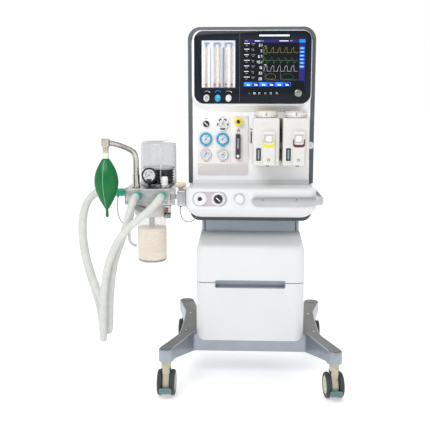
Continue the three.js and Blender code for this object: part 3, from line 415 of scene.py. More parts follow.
class Shape:
    """Closed skins, with a material number on each face."""

    def __init__(self):
        self.points, self.faces, self.kinds = [], [], []

    def skin(self, rings, kind=0, caps=(True, True), cap_kind=None):
        first, sides = len(self.points), len(rings[0])
        for ring in rings:
            self.points += [Vector(p) for p in ring]
        made = []
        for r in range(len(rings) - 1):
            for i in range(sides):
                a, b = first + r * sides + i, first + r * sides + (i + 1) % sides
                made.append(((a, b, b + sides, a + sides), kind))
        last = first + (len(rings) - 1) * sides
        end_kind = kind if cap_kind is None else cap_kind
        if caps[0]:
            made.append((tuple(reversed(range(first, first + sides))), kind))
        if caps[1]:
            made.append((tuple(range(last, last + sides)), end_kind))
        for face, number in made:
            self.faces.append(face)
            self.kinds.append(number)
        return self

    def slab(self, outline, low, high, axis="z", edge=1.0, kind=0, cap_kind=None):
        """An outline given thickness, its edges rounded; with axis y it faces the front."""
        edge = min(edge, (high - low) / 2.01)
        levels = []
        for k in range(4):
            turn = math.radians(30 * k)
            levels.append((edge * (1 - math.sin(turn)), edge * (1 - math.cos(turn))))
        rings = [(d, low + h) for d, h in levels] + [(d, high - h) for d, h in levels[::-1]]
        if axis == "y":
            rings = rings[::-1]
        lay = LAY[axis]
        return self.skin(
            [[lay(u, v, h) for u, v in inset(outline, d)] for d, h in rings],
            kind, cap_kind=cap_kind,
        )

    def block(self, x0, x1, y0, y1, z0, z1, edge=1.0, kind=0, axis="y"):
        spans = {"x": (y0, y1, z0, z1, x0, x1), "y": (x0, x1, z0, z1, y0, y1),
                 "z": (x0, x1, y0, y1, z0, z1)}[axis]
        u0, u1, v0, v1, low, high = spans
        return self.slab(rounded(u0, u1, v0, v1, max(edge, 0.05), 3), low, high, axis, edge, kind)

    def turned(self, profile, middle, axis="z", sides=48, edge=0.0, kind=0):
        """A [radius, height] profile turned round an axis; on y, heights go to the front."""
        if edge:
            profile = soften(profile, edge)
        lay, middle = TURN[axis], Vector(middle)
        rings = []
        for radius, height in profile:
            rings.append([middle + Vector(lay(u, v, height)) for u, v in circle(radius, sides)])
        return self.skin(rings, kind, caps=(profile[0][0] > 0.01, profile[-1][0] > 0.01))

    def pin(self, radius, low, high, middle, axis="z", sides=48, edge=0.0, kind=0):
        """A plain round body between two heights."""
        profile = [[0, low], [radius, low], [radius, high], [0, high]]
        return self.turned(profile, middle, axis, sides, edge, kind)

    def sweep(self, path, section, kind=0):
        """section(distance) gives the [across, up] outline at that distance along the path."""
        path = [Vector(p) for p in path]
        ways = []
        for i in range(len(path)):
            ways.append((path[min(i + 1, len(path) - 1)] - path[max(i - 1, 0)]).normalized())
        side = ways[0].cross(Vector((0, 0, 1)))
        side = side.normalized() if side.length > 1e-3 else Vector((1, 0, 0))
        rings, gone = [], 0.0
        for i, (point, way) in enumerate(zip(path, ways)):
            side = (side - way * side.dot(way)).normalized()
            up = side.cross(way)
            gone += (point - path[i - 1]).length if i else 0
            rings.append([point + side * u + up * v for u, v in section(gone)])
        return self.skin(rings, kind)

    def rod(self, path, radius, sides=20, kind=0):
        ring = circle(radius, sides)
        return self.sweep(path, lambda gone: ring, kind)

    def grooved(self, profile, middle, axis, sides, groove, deep, kind=0):
        """A turned body, [height, radius] profile, with grooves cut along its side.

        groove: sides in a pitch, cut sides in it, and the heights between which they run.
        """
        pitch, cut, low, high = groove
        lay, rings = TURN[axis], []
        for height, radius in profile:
            ring = []
            for i in range(sides):
                t = 2 * math.pi * i / sides
                r = radius - (deep if i % pitch < cut and low < height < high else 0)
                spot = lay(r * math.cos(t), r * math.sin(t), height)
                ring.append(tuple(m + s for m, s in zip(middle, spot)))
            rings.append(ring)
        return self.skin(rings, kind)

    def moved(self, matrix):
        self.points = [matrix @ p for p in self.points]
        return self

    def join(self, other, matrix):
        """Adds another shape, moved by a matrix."""
        first = len(self.points)
        self.points += [matrix @ p for p in other.points]
        self.faces += [tuple(first + i for i in face) for face in other.faces]
        self.kinds += other.kinds
        return self

    def mesh(self, name, *materials, sharp=34):
        mesh = bpy.data.meshes.new(name)
        mesh.from_pydata([place(p) for p in self.points], [], self.faces)
        for item in materials:
            mesh.materials.append(item)
        mesh.polygons.foreach_set("material_index", self.kinds)
        work = bmesh.new()
        work.from_mesh(mesh)
        bmesh.ops.remove_doubles(work, verts=work.verts, dist=2e-6)
        bmesh.ops.dissolve_degenerate(work, dist=1e-6, edges=work.edges)
        bmesh.ops.recalc_face_normals(work, faces=work.faces)
        work.to_mesh(mesh)
        work.free()
        mesh.polygons.foreach_set("use_smooth", [True] * len(mesh.polygons))
        mesh.set_sharp_from_angle(angle=math.radians(sharp))
        return mesh


def add(name, shape, body, slot, *materials, stands_for=(), sharp=34):
    """Makes a piece from a shape and puts it on its body."""
    mesh = shape.mesh(name, *materials, sharp=sharp)
    piece = show(name, mesh)
    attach(piece, body)
    if stands_for:
        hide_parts(*stands_for)
    return piece


def carve(piece, *cutters, bevel=0.0):
    """Cuts shapes out of a piece, and breaks the new edges."""
    for cutter in cutters:
        cut_with(piece, cutter, "DIFFERENCE")
    if bevel:
        break_edges(piece, bevel, 50)
        bake(piece)
    piece.data.polygons.foreach_set("use_smooth", [True] * len(piece.data.polygons))
    piece.data.set_sharp_from_angle(angle=math.radians(34))
    return piece


def cut_with(piece, cutter, operation):
    tool = show("tool", cutter.mesh("tool", *piece.data.materials))
    cut = piece.modifiers.new("cut", "BOOLEAN")
    cut.operation, cut.solver, cut.object = operation, "EXACT", tool
    bake(piece)
    bpy.data.objects.remove(tool)


def break_edges(piece, width, angle):
    """Rounds the edges sharper than an angle in degrees."""
    soft = piece.modifiers.new("soft", "BEVEL")
    soft.width, soft.segments, soft.limit_method = width * MM, 2, "ANGLE"
    soft.angle_limit = math.radians(angle)


def bake(piece):
    """Turns a piece's modifiers into its mesh."""
    shown = piece.evaluated_get(bpy.context.evaluated_depsgraph_get())
    mesh = bpy.data.meshes.new_from_object(shown)
    piece.modifiers.clear()
    piece.data = mesh


def finish_cad(node, finish):
    """A CAD node that stays: its edges are broken and it gets its material."""
    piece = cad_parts[node]
    piece.data.materials.clear()
    piece.data.materials.append(finish)
    break_edges(piece, 0.6, 40)


# ----------------------------------------------------------------------------- cords
HOSE_PATHS = {
    "breathing_hose_left": [
        (-406, -168.5, 678), (-406, -184, 678), (-408, -204, 670), (-413, -219, 651),
        (-420, -225, 625), (-430, -227, 590), (-443, -226, 547), (-458, -224, 505),
        (-472, -223, 464), (-483, -223, 410), (-490, -224, 355), (-494, -225, 305),
        (-496, -224, 262), (-500, -215, 222), (-507, -193, 197), (-515, -163, 189),
        (-524, -133, 200), (-534, -112, 230), (-547, -106, 275), (-566, -106, 330),
        (-585, -106, 390), (-599, -106, 445), (-607, -106, 500), (-609, -106, 555),
        (-604, -106, 605), (-592, -106, 645), (-574, -106, 671), (-556, -106, 683),
        (-541, -106, 684),
    ],
    "breathing_hose_right": [
        (-317, -168.5, 678), (-317, -184, 678), (-321, -206, 671), (-334, -226, 655),
        (-357, -242, 634), (-390, -253, 607), (-422, -257, 578), (-450, -257, 543),
        (-472, -256, 503), (-490, -255, 455), (-502, -255, 405), (-509, -256, 350),
        (-512, -257, 300), (-514, -254, 252), (-518, -238, 204), (-526, -203, 169),
        (-535, -162, 159), (-545, -120, 171), (-555, -89, 202), (-565, -75, 248),
        (-580, -73, 305), (-597, -74, 365), (-611, -74, 425), (-620, -74, 480),
        (-623, -74, 535), (-619, -74, 590), (-605, -74, 634), (-584, -74, 666),
        (-560, -74, 683), (-541, -74, 684),
    ],
}
WIRE_PATHS = {
    "sampling_line": [
        (-480, -102, 668), (-481, -104, 655), (-482, -106, 635), (-480, -108, 612),
        (-475, -108, 592), (-468, -104, 577), (-460, -96, 567), (-452, -86, 563),
        (-444, -76, 567), (-437, -68, 578), (-431, -62, 596), (-428, -60, 614),
    ],
    "sensor_wire": [
        (-252, -110, 639.5), (-253, -112, 625), (-251, -116, 608), (-245, -120, 594),
        (-234, -124, 585), (-220, -127, 583), (-208, -129, 587), (-199, -130, 595),
        (-193, -130, 605),
    ],
}
HOSE_RADIUS, HOSE_PITCH, HOSE_CUFF = 13.5, 5.2, 22
WIRE_RADIUS = 1.5


def hose_section(length):
    """Shallow corrugations between two smooth cuffs."""
    def section(gone):
        cuff = min(gone, length - gone) < HOSE_CUFF
        wave = 0.5 - 0.5 * math.cos(2 * math.pi * gone / HOSE_PITCH)
        radius = HOSE_RADIUS - (0.3 if cuff else 1.5 * (1 - wave ** 0.7))
        return circle(radius, 24)
    return section


def wire_section(length):
    ring = circle(WIRE_RADIUS, 12)
    return lambda gone: ring


def add_cord(name, body, points, section_of, step, slot, finish):
    path = smooth_path(points, step)
    length = sum((b - a).length for a, b in zip(path, path[1:]))
    shape = Shape().sweep(path, section_of(length))
    piece = add(name + "_tube", shape, body, slot, finish, stands_for=(name,), sharp=70)


def add_cords():
    for name, points in HOSE_PATHS.items():
        add_cord(name, "absorber", points, hose_section, HOSE_PITCH / 5, "hose", HOSE)
    for name, points in WIRE_PATHS.items():
        body = "absorber" if name == "sampling_line" else "machine"
        add_cord(name, body, points, wire_section, 3, "line", WIRE)


add_cords()


# ------------------------------------------------------------------------ rolling base
def make_base():
    right = [
        (204, -125), *arc(288, -302, 26, 168, 370, 22), (284, -215), (261, -152), (255, -108),
        (255, 40), (259, 140), *arc(264, 286, 31, -24, 155, 22), (204, 150),
    ]
    outline = right + [(-x, y) for x, y in reversed(right)]
    shape = Shape().slab(soften(outline, 16, 4, closed=True), 98, 172, edge=3.5)
    # The top cap takes the darker copy of the frame paint: painted shade on the casting's top.
    shape.kinds[-1] = 1
    piece = add("base_casting", shape, "machine", "frame_paint", SILVER, FRAME_TOP_PAINTED_SHADE,
                stands_for=("base_frame",))
    under = [
        [(-118, 90), (-118, 98), (-282, 129), (-345, 131), (-345, 90)],
        [(160, 90), (330, 90), (330, 126), (250, 126), (160, 98)],
    ]
    carve(piece, *(Shape().slab(cut, -330, 330, "x", 0.01) for cut in under))
    pads = Shape()
    for x, y, radius in ((-288, -302, 20), (288, -302, 20), (-264, 286, 24), (264, 286, 24)):
        pads.turned([[0, 171.4], [radius, 171.4], [radius, 172.6], [radius - 1.5, 173.4], [0, 173.4]],
                    (x, y, 0), edge=0.5)
    # The pads take the same painted shade as the casting's top.
    add("caster_pads", pads, "machine", "frame_paint", FRAME_TOP_PAINTED_SHADE)
    screws = Shape()
    for x in (-235, 235):
        for y in (-112, 100):
            add_screw(screws, (x, y, 172), "z", 4.2)
    add("base_screws", screws, "machine", "frame_paint", TIN)


def add_screw(shape, middle, axis, radius, kind=0):
    """A domed screw head with a six-sided socket."""
    high = radius * 0.62
    head = Shape().turned(
        [[0, -0.4], [radius, -0.4], [radius, high * 0.45], [radius * 0.86, high * 0.85],
         [radius * 0.62, high], [0, high]], (0, 0, 0), sides=24, kind=kind)
    head.turned([[0, high - 0.1], [radius * 0.5, high - 0.1], [radius * 0.44, high + 0.15],
                 [radius * 0.30, high + 0.15], [radius * 0.24, high - 0.05], [0, high - 0.05]],
                (0, 0, 0), sides=6, kind=kind)
    turn = {"z": Matrix(), "y": Matrix.Rotation(math.pi / 2, 4, "X"),
            "x": Matrix.Rotation(math.pi / 2, 4, "Y")}[axis]
    return shape.join(head, Matrix.Translation(middle) @ turn)


HUB = 44.6  # the axle's height
AXLE_Y = 8  # how far the axle trails behind the swivel's stem


def make_caster(corner, x, y, angle, brake):
    put = spin((x, y, 0), "Z", math.radians(angle))
    axle = (0, AXLE_Y, HUB)
    fork = Shape()
    fork.turned([[0, 99], [13, 99], [17, 101], [17, 107.5], [15.8, 108.5], [15.8, 110], [17, 111],
                 [17, 118], [15.8, 119], [15.8, 120.5], [17, 121.3], [20, 122], [20, 129.6], [0, 129.6]],
                (0, 0, 0), edge=0.4)
    fork.slab(arc(AXLE_Y, HUB, 34, -35, 215, 40), -12.6, 12.6, "x", 5)
    fork.block(-12.6, 12.6, -14, 17, 82, 101.5, 3, axis="z")
    # Black blocks at the fork's sides: painted shade standing in for its notches.
    for side in (-1, 1):
        fork.block(side * 15 - 1.6, side * 15 + 1.6, -13, 14, 90.5, 100.5, 1.2, kind=1)
    fork.slab([(-14, 68), (24, 68), (16, 102), (-15, 102)], -12, 12, "x", 3)
    fork.pin(14, -13.4, 13.4, axle, "x", edge=0.8)
    add("caster_fork_piece_" + corner, fork.moved(put), "swivel_" + corner, "caster_fork", KHAKI, BLACK,
        stands_for=("caster_fork_" + corner,))
    wheels = Shape()
    tread = [
        [0, 14.2], [30, 14.2], [41, 14.6], [43, 15.6], [44.4, 17.2], [44.6, 18.4], [44.6, 20.4], [43.8, 21],
        [43.8, 22.2], [44.6, 22.8], [44.6, 25.2], [44.1, 26.9], [42.4, 29.2], [39.6, 30.6], [37, 30.9],
        [33.6, 30.7], [32.5, 29.4], [31.8, 28], [0, 28],
    ]
    disk = [[0, 26.4], [31.6, 26.4], [31.6, 29], [30.2, 30.1], [27.2, 30.3], [25.5, 29.2], [13, 28.4],
            [11.3, 29.5], [10.3, 30.4], [7, 30.8], [0, 30.9]]
    for side in (-1, 1):
        wheels.turned([[r, side * h] for r, h in soften(tread, 0.5)], axle, "x", 72)
        wheels.turned([[r, side * h] for r, h in soften(disk, 0.5)], axle, "x", 48, kind=1)
        for k in range(5):
            t = math.radians(72 * k + 20)
            spot = (0, AXLE_Y + 19 * math.cos(t), HUB + 19 * math.sin(t))
            wheels.turned([[0, side * 28], [3.2, side * 28], [2.8, side * 29.4], [0, side * 29.4]],
                          spot, "x", 16, kind=1)
    wheels.pin(6, -14.6, 14.6, axle, "x", 24, kind=1)
    add("caster_wheel_piece_" + corner, wheels.moved(put), "wheels_" + corner, "tyre", TYRE, KHAKI,
        stands_for=("caster_wheels_" + corner,))
    if brake:
        pedal = Shape()
        pedal.slab([(-41, 28.4), (-32, 28.4), (-32, 39.6), (-37, 39.6), (-41, 38)], -8.6, 8.6, "x", 1)
        pedal.slab(rounded(-21, 21, 22.2, 40.8, 5, 5), -47.8, -39, "y", 2.2)
        pedal.pin(5.4, -9, 9, (0, -32, 34), "x", 24, edge=0.6)
        for k in range(4):
            pedal.block(-17, 17, -48.6, -47.2, 25.6 + 3.1 * k, 27.1 + 3.1 * k, 0.5)
        add("pedal_piece_" + corner, pedal.moved(put), "pedal_" + corner, "pedal", PEDAL,
            stands_for=("brake_pedal_" + corner,))


# ------------------------------------------------------------------ cabinet and drawer
def cabinet_rings(depth, sections):
    """The cabinet's skin, a depth inside its faces, from its sections."""
    rings = []
    for z, narrower, setback, corner in sections:
        half, front = 194 - narrower - depth, -170 + setback + depth
        line = rounded(-half, half, front, 170 - depth, max(2.5, corner - depth), 10)
        rings.append([(x, y, z) for x, y in line])
    return rings


# Each section: its height, how much narrower and further back it is, and its corners.
CABINET_RINGS = [
    (172.4, 0, 0, 30), (455, 0, 0, 30), (468, 0.2, 0.2, 30), (478, 0.7, 0.5, 30),
    (487, 1.6, 1.2, 30), (494, 2.8, 3.4, 29), (499.5, 4.1, 7.4, 28), (503.5, 5.1, 13.4, 24),
    (507, 6, 22, 16), (514, 7.7, 44, 8), (536.8, 13, 116.2, 6),
]


def make_cabinet():
    piece = add("cabinet_shell", Shape().skin(cabinet_rings(0, CABINET_RINGS)), "machine",
                "white_shell", PAINTED_SHADE_WHITE, stands_for=("cabinet_cover",))
    hollow = [(160, *CABINET_RINGS[0][1:])] + CABINET_RINGS[1:]
    slot = Shape().slab(rounded(-126, 126, 351, 380, 7), -185, -150.2, "y", 0.01)
    neck = Shape().block(-178.3, 178.3, -50.3, 156, 500, 545, 0.01, axis="z")
    mouth = Shape().block(-300, 300, -190, -127, 150, 371.6, 0.01, axis="z")
    carve(piece, Shape().skin(cabinet_rings(4, hollow)), neck, mouth, slot, bevel=0.9)
    cup = Shape().slab(rounded(-126.4, 126.4, 352.6, 380.4, 7), -166.4, -148.4, "y", 0.8)
    lining = add("handle_lining", cup, "machine", "chassis_paint", NECK)
    carve(lining, Shape().slab(rounded(-122.5, 122.5, 345, 376.6, 5), -180, -151, "y", 0.01), bevel=0.6)
    seam = Shape()
    for side in (-1, 1):
        seam.block(side * 193.2 - 1, side * 193.2 + 1, -126.9, -125.5, 173, 371, 0.2)
    for x in (-193.6, 193.6):
        for y in (-60, 90):
            add_screw(seam, (x, y, 205), "x", 3.4, 1)
    add("cabinet_seams", seam, "machine", "white_shell", INK, TIN)
    vents = Shape()
    for k in range(9):
        vents.slab(rounded(-60, 60, 240 + 9 * k, 243.5 + 9 * k, 1.7, 4), 169.2, 170.5, "y", 0.2)
    add("cabinet_vents", vents, "machine", "white_shell", DARK)


def make_drawer():
    keep = rounded(-193.8, 193.8, 156.2, 368.8, (34, 2), 10)
    front = Shape().slab(keep, -169.8, -127.3, "y", 0.05)
    piece = add("drawer_skin", front, "drawer", "white_shell", PAINTED_SHADE_WHITE,
                stands_for=("drawer_front",))
    outer = rounded(-193.8, 193.8, -169.8, 169, 30, 10)
    cut_with(piece, Shape().slab(outer, 120, 400, "z", 0.01), "INTERSECT")
    hollow = Shape().slab(rounded(-185.8, 185.8, -161.8, 200, 22, 10), 100, 420, "z", 0.01)
    slot = Shape().slab(rounded(-126, 126, 351, 380, 7), -185, -150.2, "y", 0.01)
    carve(piece, hollow, slot, bevel=1.1)
    lip = Shape().slab(rounded(-126.2, 126.2, 348.4, 352.4, 1.9), -169, -161.9, "y", 0.8)
    add("drawer_grip_lip", lip, "drawer", "chassis_paint", NECK)


# ----------------------------------------------------------------------- neck and tray
def make_neck():
    walls = Shape()
    side = [(-130, 172.4), (156, 172.4), (156, 592), (-50, 592), (-50, 492), (-126, 470), (-130, 466)]
    for s in (-1, 1):
        x0, x1 = sorted((s * 172, s * 178))
        walls.slab(side, x0, x1, "x", 0.8)
        x0, x1 = sorted((s * 165.3, s * 171.8))
        walls.block(x0, x1, -120, 154, 240, 250, 1.2)
        for z in (232, 256):
            walls.block(x0 + 2, x1 - 2, -100, 140, z, z + 2, 0.6)
    walls.block(-172.2, 172.2, 150, 156, 172.4, 592, 0.8, axis="y")
    walls.block(-172.2, 172.2, -130, 150.2, 172.4, 177.3, 0.8, axis="z")
    walls.slab(rounded(-172.2, 172.2, 490, 592, 1, 3), -49.6, -44, "y", 0.8)
    add("chassis_frame", walls, "machine", "chassis_paint", NECK, stands_for=("chassis",))
    fascia = Shape().slab(rounded(-165.6, 165.6, 498, 592, 2, 3), -50.9, -48, "y", 0.9)
    for s in (-1, 1):
        fascia.slab(rounded(s * 173 - 4.4, s * 173 + 4.4, 498, 592, 2, 3), -50.9, -48, "y", 0.9)
        fascia.block(s * 167.1 - 1.6, s * 167.1 + 1.6, -51.1, -48, 498, 591, 0.1, kind=1)
    add("neck_fascia", fascia, "machine", "chassis_paint", NECK, INK)
    tray = Shape()
    tray.slab(rounded(-215.8, 215.8, 589.1, 632.6, (34, 2), 12), -127.9, 159.9, "y", 2.5)
    piece = add("worktop_tray", tray, "machine", "chassis_paint", TRIM)
    well = Shape().block(-158, 158, -103, 145, 596, 640, 0.01, axis="z")
    carve(piece, well, bevel=0)
    plugs = Shape()
    for x in (-120, 0, 120):
        add_screw(plugs, (x, 100, 596.2), "z", 3.5)
    add("tray_screws", plugs, "machine", "chassis_paint", TIN)


# ----------------------------------------------------------------------------- worktop
OUTLET_SPOT, SWITCH_SPOT, FLUSH_SPOT = (-178, 0, 672.5), (-114, 0, 672.5), (-40, 0, 675)
RAIL_Z = 667.5


def make_worktop():
    def ring(z, narrower, setback, back=165.0, corner=28):
        half = 229 - narrower
        front = max(6, corner - narrower * 0.4)
        line = (
            arc(half - front, -175 + setback + front, front, -90, 0, 10)
            + arc(half - 8, back - 8, 8, 0, 90, 4) + arc(-half + 8, back - 8, 8, 90, 180, 4)
            + arc(-half + front, -175 + setback + front, front, 180, 270, 10)
        )
        return [(x, y, z) for x, y in line]

    levels = [(633.1, 3), (634.6, 1.4), (636.6, 0.4), (639, 0), (697, 0), (700.5, 0.35), (703.5, 1.3),
              (706, 2.9), (708, 5), (709.3, 7.2), (710, 10)]
    slab = Shape().skin([ring(z, d, d, 165 - d * 0.5) for z, d in levels])
    piece = add("worktop_top", slab, "machine", "white_shell", PAINTED_SHADE_WHITE, stands_for=("worktop",))
    pill = Shape().slab(rounded(-204, -82, 647, 698, 25.4, 12), -190, -171, "y", 0.01)
    button = Shape().pin(16.8, 160, 190, FLUSH_SPOT, "y", 40)
    carve(piece, pill, button, bevel=0.5)
    chin = [(604.4, 42, 31, 20), (605.2, 37, 28.5, 20), (607.2, 31.5, 24, 20), (610.2, 27, 20.5, 20),
            (614.6, 21.5, 16.4, 20), (620.5, 14.4, 11.4, 22), (627.5, 8, 6.6, 25), (633, 4, 3.6, 27),
            (635, 3.4, 3.2, 28)]
    rings = []
    for z, narrower, setback, corner in chin:
        half = 229 - narrower
        line = rounded(-half, half, -175 + setback, 120, corner, 10)
        rings.append([(x, min(y, -128.4), z) for x, y in line])
    add("worktop_chin", Shape().skin(rings), "machine", "white_shell", PAINTED_SHADE_WHITE)
    fill = Shape().slab(rounded(-203.6, -82.4, 647.4, 697.6, 25, 12), -171.9, -169, "y", 0.5)
    add("recess_plate", fill, "machine", "panel", MAUVE)
    joint = [(-13, -174.9, 704), (-13, -174.9, 662), (-15, -174.9, 652), (-21, -174.9, 645.5),
             (-31, -174.9, 642), (-48, -174.9, 641)]
    seam = Shape().rod(smooth_path(joint, 4), 0.32, 8)
    seam.turned([[17.1, 174.6], [17.6, 175.35], [18.1, 174.6]], FLUSH_SPOT, "y", 48)
    add("worktop_seams", seam, "machine", "white_shell", SEAM_GREY)
    cove = Shape()
    profile = [(-64, 709.9), (-51, 710.6), (-44, 713.2), (-40, 717.5), (-38.6, 724), (-30, 724), (-30, 709.9)]
    cove.slab(profile[::-1], -212.6, 212.6, "x", 0.6)
    add("foot_cove", cove, "machine", "white_shell", PALE)


def make_rail():
    left, back, half = 4, 62, 13.5

    def section(gone):
        return rounded(-3, 3, -half, half, 1.4, 3)

    steps = (0, 0.35, 1.4, 3, 5.2, 8, 11, 13.6)
    path = [(left + s, -184, RAIL_Z) for s in steps] + [(140, -184, RAIL_Z), (218, -184, RAIL_Z)]
    path += [(x, y, RAIL_Z) for x, y in arc(218, -151, 33, -90, 0, 14)[1:]]
    path += [(251, -60, RAIL_Z)] + [(251, back - s, RAIL_Z) for s in reversed(steps)]
    bar = Shape().sweep(path, section)
    for point in bar.points:  # the bar's two ends are round
        end = 0
        if point.y < -180:
            end = half - (point.x - left)
        elif point.x > 245:
            end = half - (back - point.y)
        if end > 0:
            most = math.sqrt(max(2.0, half ** 2 - min(half, end) ** 2))
            point.z = RAIL_Z + max(-most, min(most, point.z - RAIL_Z))
    add("rail_bar", bar, "machine", "rail", RAIL, stands_for=("side_rail",))
    posts = Shape()
    for x in (40, 157):
        posts.turned([[0, 174.4], [9.5, 174.4], [9.5, 177], [7.5, 178], [7.5, 181], [0, 181]],
                     (x, 0, RAIL_Z), "y", edge=0.3)
        add_screw(posts, (x, -187, 671), "y", 4.4)
    posts.turned([[0, 228.4], [9.5, 228.4], [9.5, 231], [7.5, 232], [7.5, 248.4], [0, 248.4]],
                 (0, 30, RAIL_Z), "x", edge=0.3)
    add_screw(posts, (254, 30, RAIL_Z), "x", 4.4)
    add("rail_posts", posts, "machine", "rail", TIN)


def make_worktop_fittings():
    rim = [[0, 171.3], [24, 171.3], [24, 174.6], [22.8, 176.5], [20.6, 178.4], [18, 179.7],
           [12.5, 180.3], [11, 179.6], [10.2, 178], [8.4, 177.4], [7.7, 175], [7.6, 172.2], [0, 172.2]]
    port = Shape().turned(rim, OUTLET_SPOT, "y", 56, edge=0.4)
    port.turned([[7.8, 171.6], [7.6, 176.6], [10.0, 177.7], [10.4, 177.2], [8.6, 171.6]],
                OUTLET_SPOT, "y", 40, kind=1)
    port.turned([[0, 171.9], [7.5, 171.9], [7.4, 172.6], [0, 172.6]], OUTLET_SPOT, "y", 40, kind=2)
    add("outlet_port", port, "machine", "white_knob", PAINTED_SHADE_WHITE, CHROME, INK,
        stands_for=("gas_outlet",))
    ring = Shape().turned([[14.6, 171.2], [14.6, 175], [16, 177.2], [19, 178.4], [23, 176.8],
                           [24.6, 174], [24.6, 171.2]], SWITCH_SPOT, "y", 56, edge=0.4)
    add("outlet_switch_ring", ring, "machine", "white_knob", PAINTED_SHADE_WHITE)
    knob = Shape().turned(
        [[0, 171.4], [13.4, 171.4], [13.5, 178], [13.1, 182.5], [11.8, 184.8], [9.5, 185.3], [0, 185.3]],
        SWITCH_SPOT, "y", 48, edge=0.5)
    knob.join(Shape().block(-9.2, 9.2, -185.9, -183, -1.7, 1.7, 0.7, kind=1),
              spin(SWITCH_SPOT, "Y", math.radians(42)))
    add("outlet_switch_cap", knob, "outlet_switch_knob", "black_knob", BLACK, PAINTED_LIGHT_WHITE,
        stands_for=("outlet_switch_knob",))
    cap = [[0, 166.6], [9, 166.6], [9, 173], [15.6, 174.2], [16, 176], [16, 184], [15.2, 186.2], [13, 187],
           [8, 186.7], [0, 186.4]]
    flush = Shape().turned(cap, FLUSH_SPOT, "y", 56, edge=0.6)
    flush.turned([[10.6, 186.2], [11.1, 187.05], [11.6, 186.2]], FLUSH_SPOT, "y", 48, kind=1)
    add("flush_cap", flush, "flush_button", "white_knob", PAINTED_SHADE_WHITE, PALE,
        stands_for=("oxygen_flush_button",))


make_base()
make_caster("front_left", -289, -297, 0, True)
make_caster("front_right", 289, -297, 6, True)
make_caster("rear_left", -268, 286, 180, False)
make_caster("rear_right", 268, 286, 180, False)
make_cabinet()
make_drawer()
make_neck()
make_worktop()
make_rail()
make_worktop_fittings()
finish_cad("drawer_box", PALE)


# --------------------------------------------------------------------- upper housing
def facing(shape, outline, levels, kind=0, cap_kind=None):
    """A body that faces the front: [y, inset] levels from its back to its face."""
    rings = [[(x, y, z) for x, z in inset(outline, d)] for y, d in levels]
    return shape.skin(rings, kind, cap_kind=cap_kind)


def make_rear_housing():
    outline = rounded(-230, 230, 710.4, 1273, (2, 45), 14)
    levels = [(150, 12), (149.4, 9.6), (147.6, 6.6), (144.6, 3.6), (140.5, 1.3), (135, 0), (-14.6, 0),
              (-16.8, 0.6), (-18.6, 1.6), (-19.7, 3)]
    piece = add("rear_shell", facing(Shape(), outline, levels), "machine", "rear_shell", DARK,
                stands_for=("rear_housing",))
    grille = [Shape().slab(rounded(-90, 90, z, z + 4, 1.9, 3), 144, 156, "y", 0.01)
              for z in range(1130, 1226, 9)]
    panel = Shape().slab(rounded(-190, 190, 740, 1050, 10, 4), 147, 156, "y", 0.01)
    carve(piece, *grille, panel, bevel=0.5)
    plate = Shape().slab(rounded(-188.5, 188.5, 741.5, 1048.5, 9, 4), 146.5, 149.4, "y", 0.8)
    add("back_plate", plate, "machine", "rear_shell", TRIM)
    fittings = Shape()
    inlet = Shape().turned(
        [[0, 149], [15, 149], [15, 151.5], [11, 153], [11, 161], [9.6, 162], [9.6, 170], [8.4, 171],
         [5, 171], [4.6, 166], [0, 166]], (0, 0, 0), "z", 36, edge=0.4)
    for x in (-130, -80, -30):
        fittings.join(inlet, spin((x, 0, 790), "X", -math.pi / 2))
    screw = add_screw(Shape(), (0, 0, 0), "z", 3.6, 1)
    for x in (-178, 0, 178):
        for z in (752, 1038):
            fittings.join(screw, spin((x, 149.4, z), "X", -math.pi / 2))
    fittings.block(60, 106, 148.6, 152, 770, 806, 2, kind=2)
    fittings.block(66, 100, 151, 153.2, 777, 799, 2, kind=2)
    for x in (75, 83, 91):
        fittings.block(x - 1.3, x + 1.3, 153, 154.4, 785, 791, 0.3, kind=1)
    add("back_fittings", fittings, "machine", "rear_shell", CHROME, TIN, BLACK)


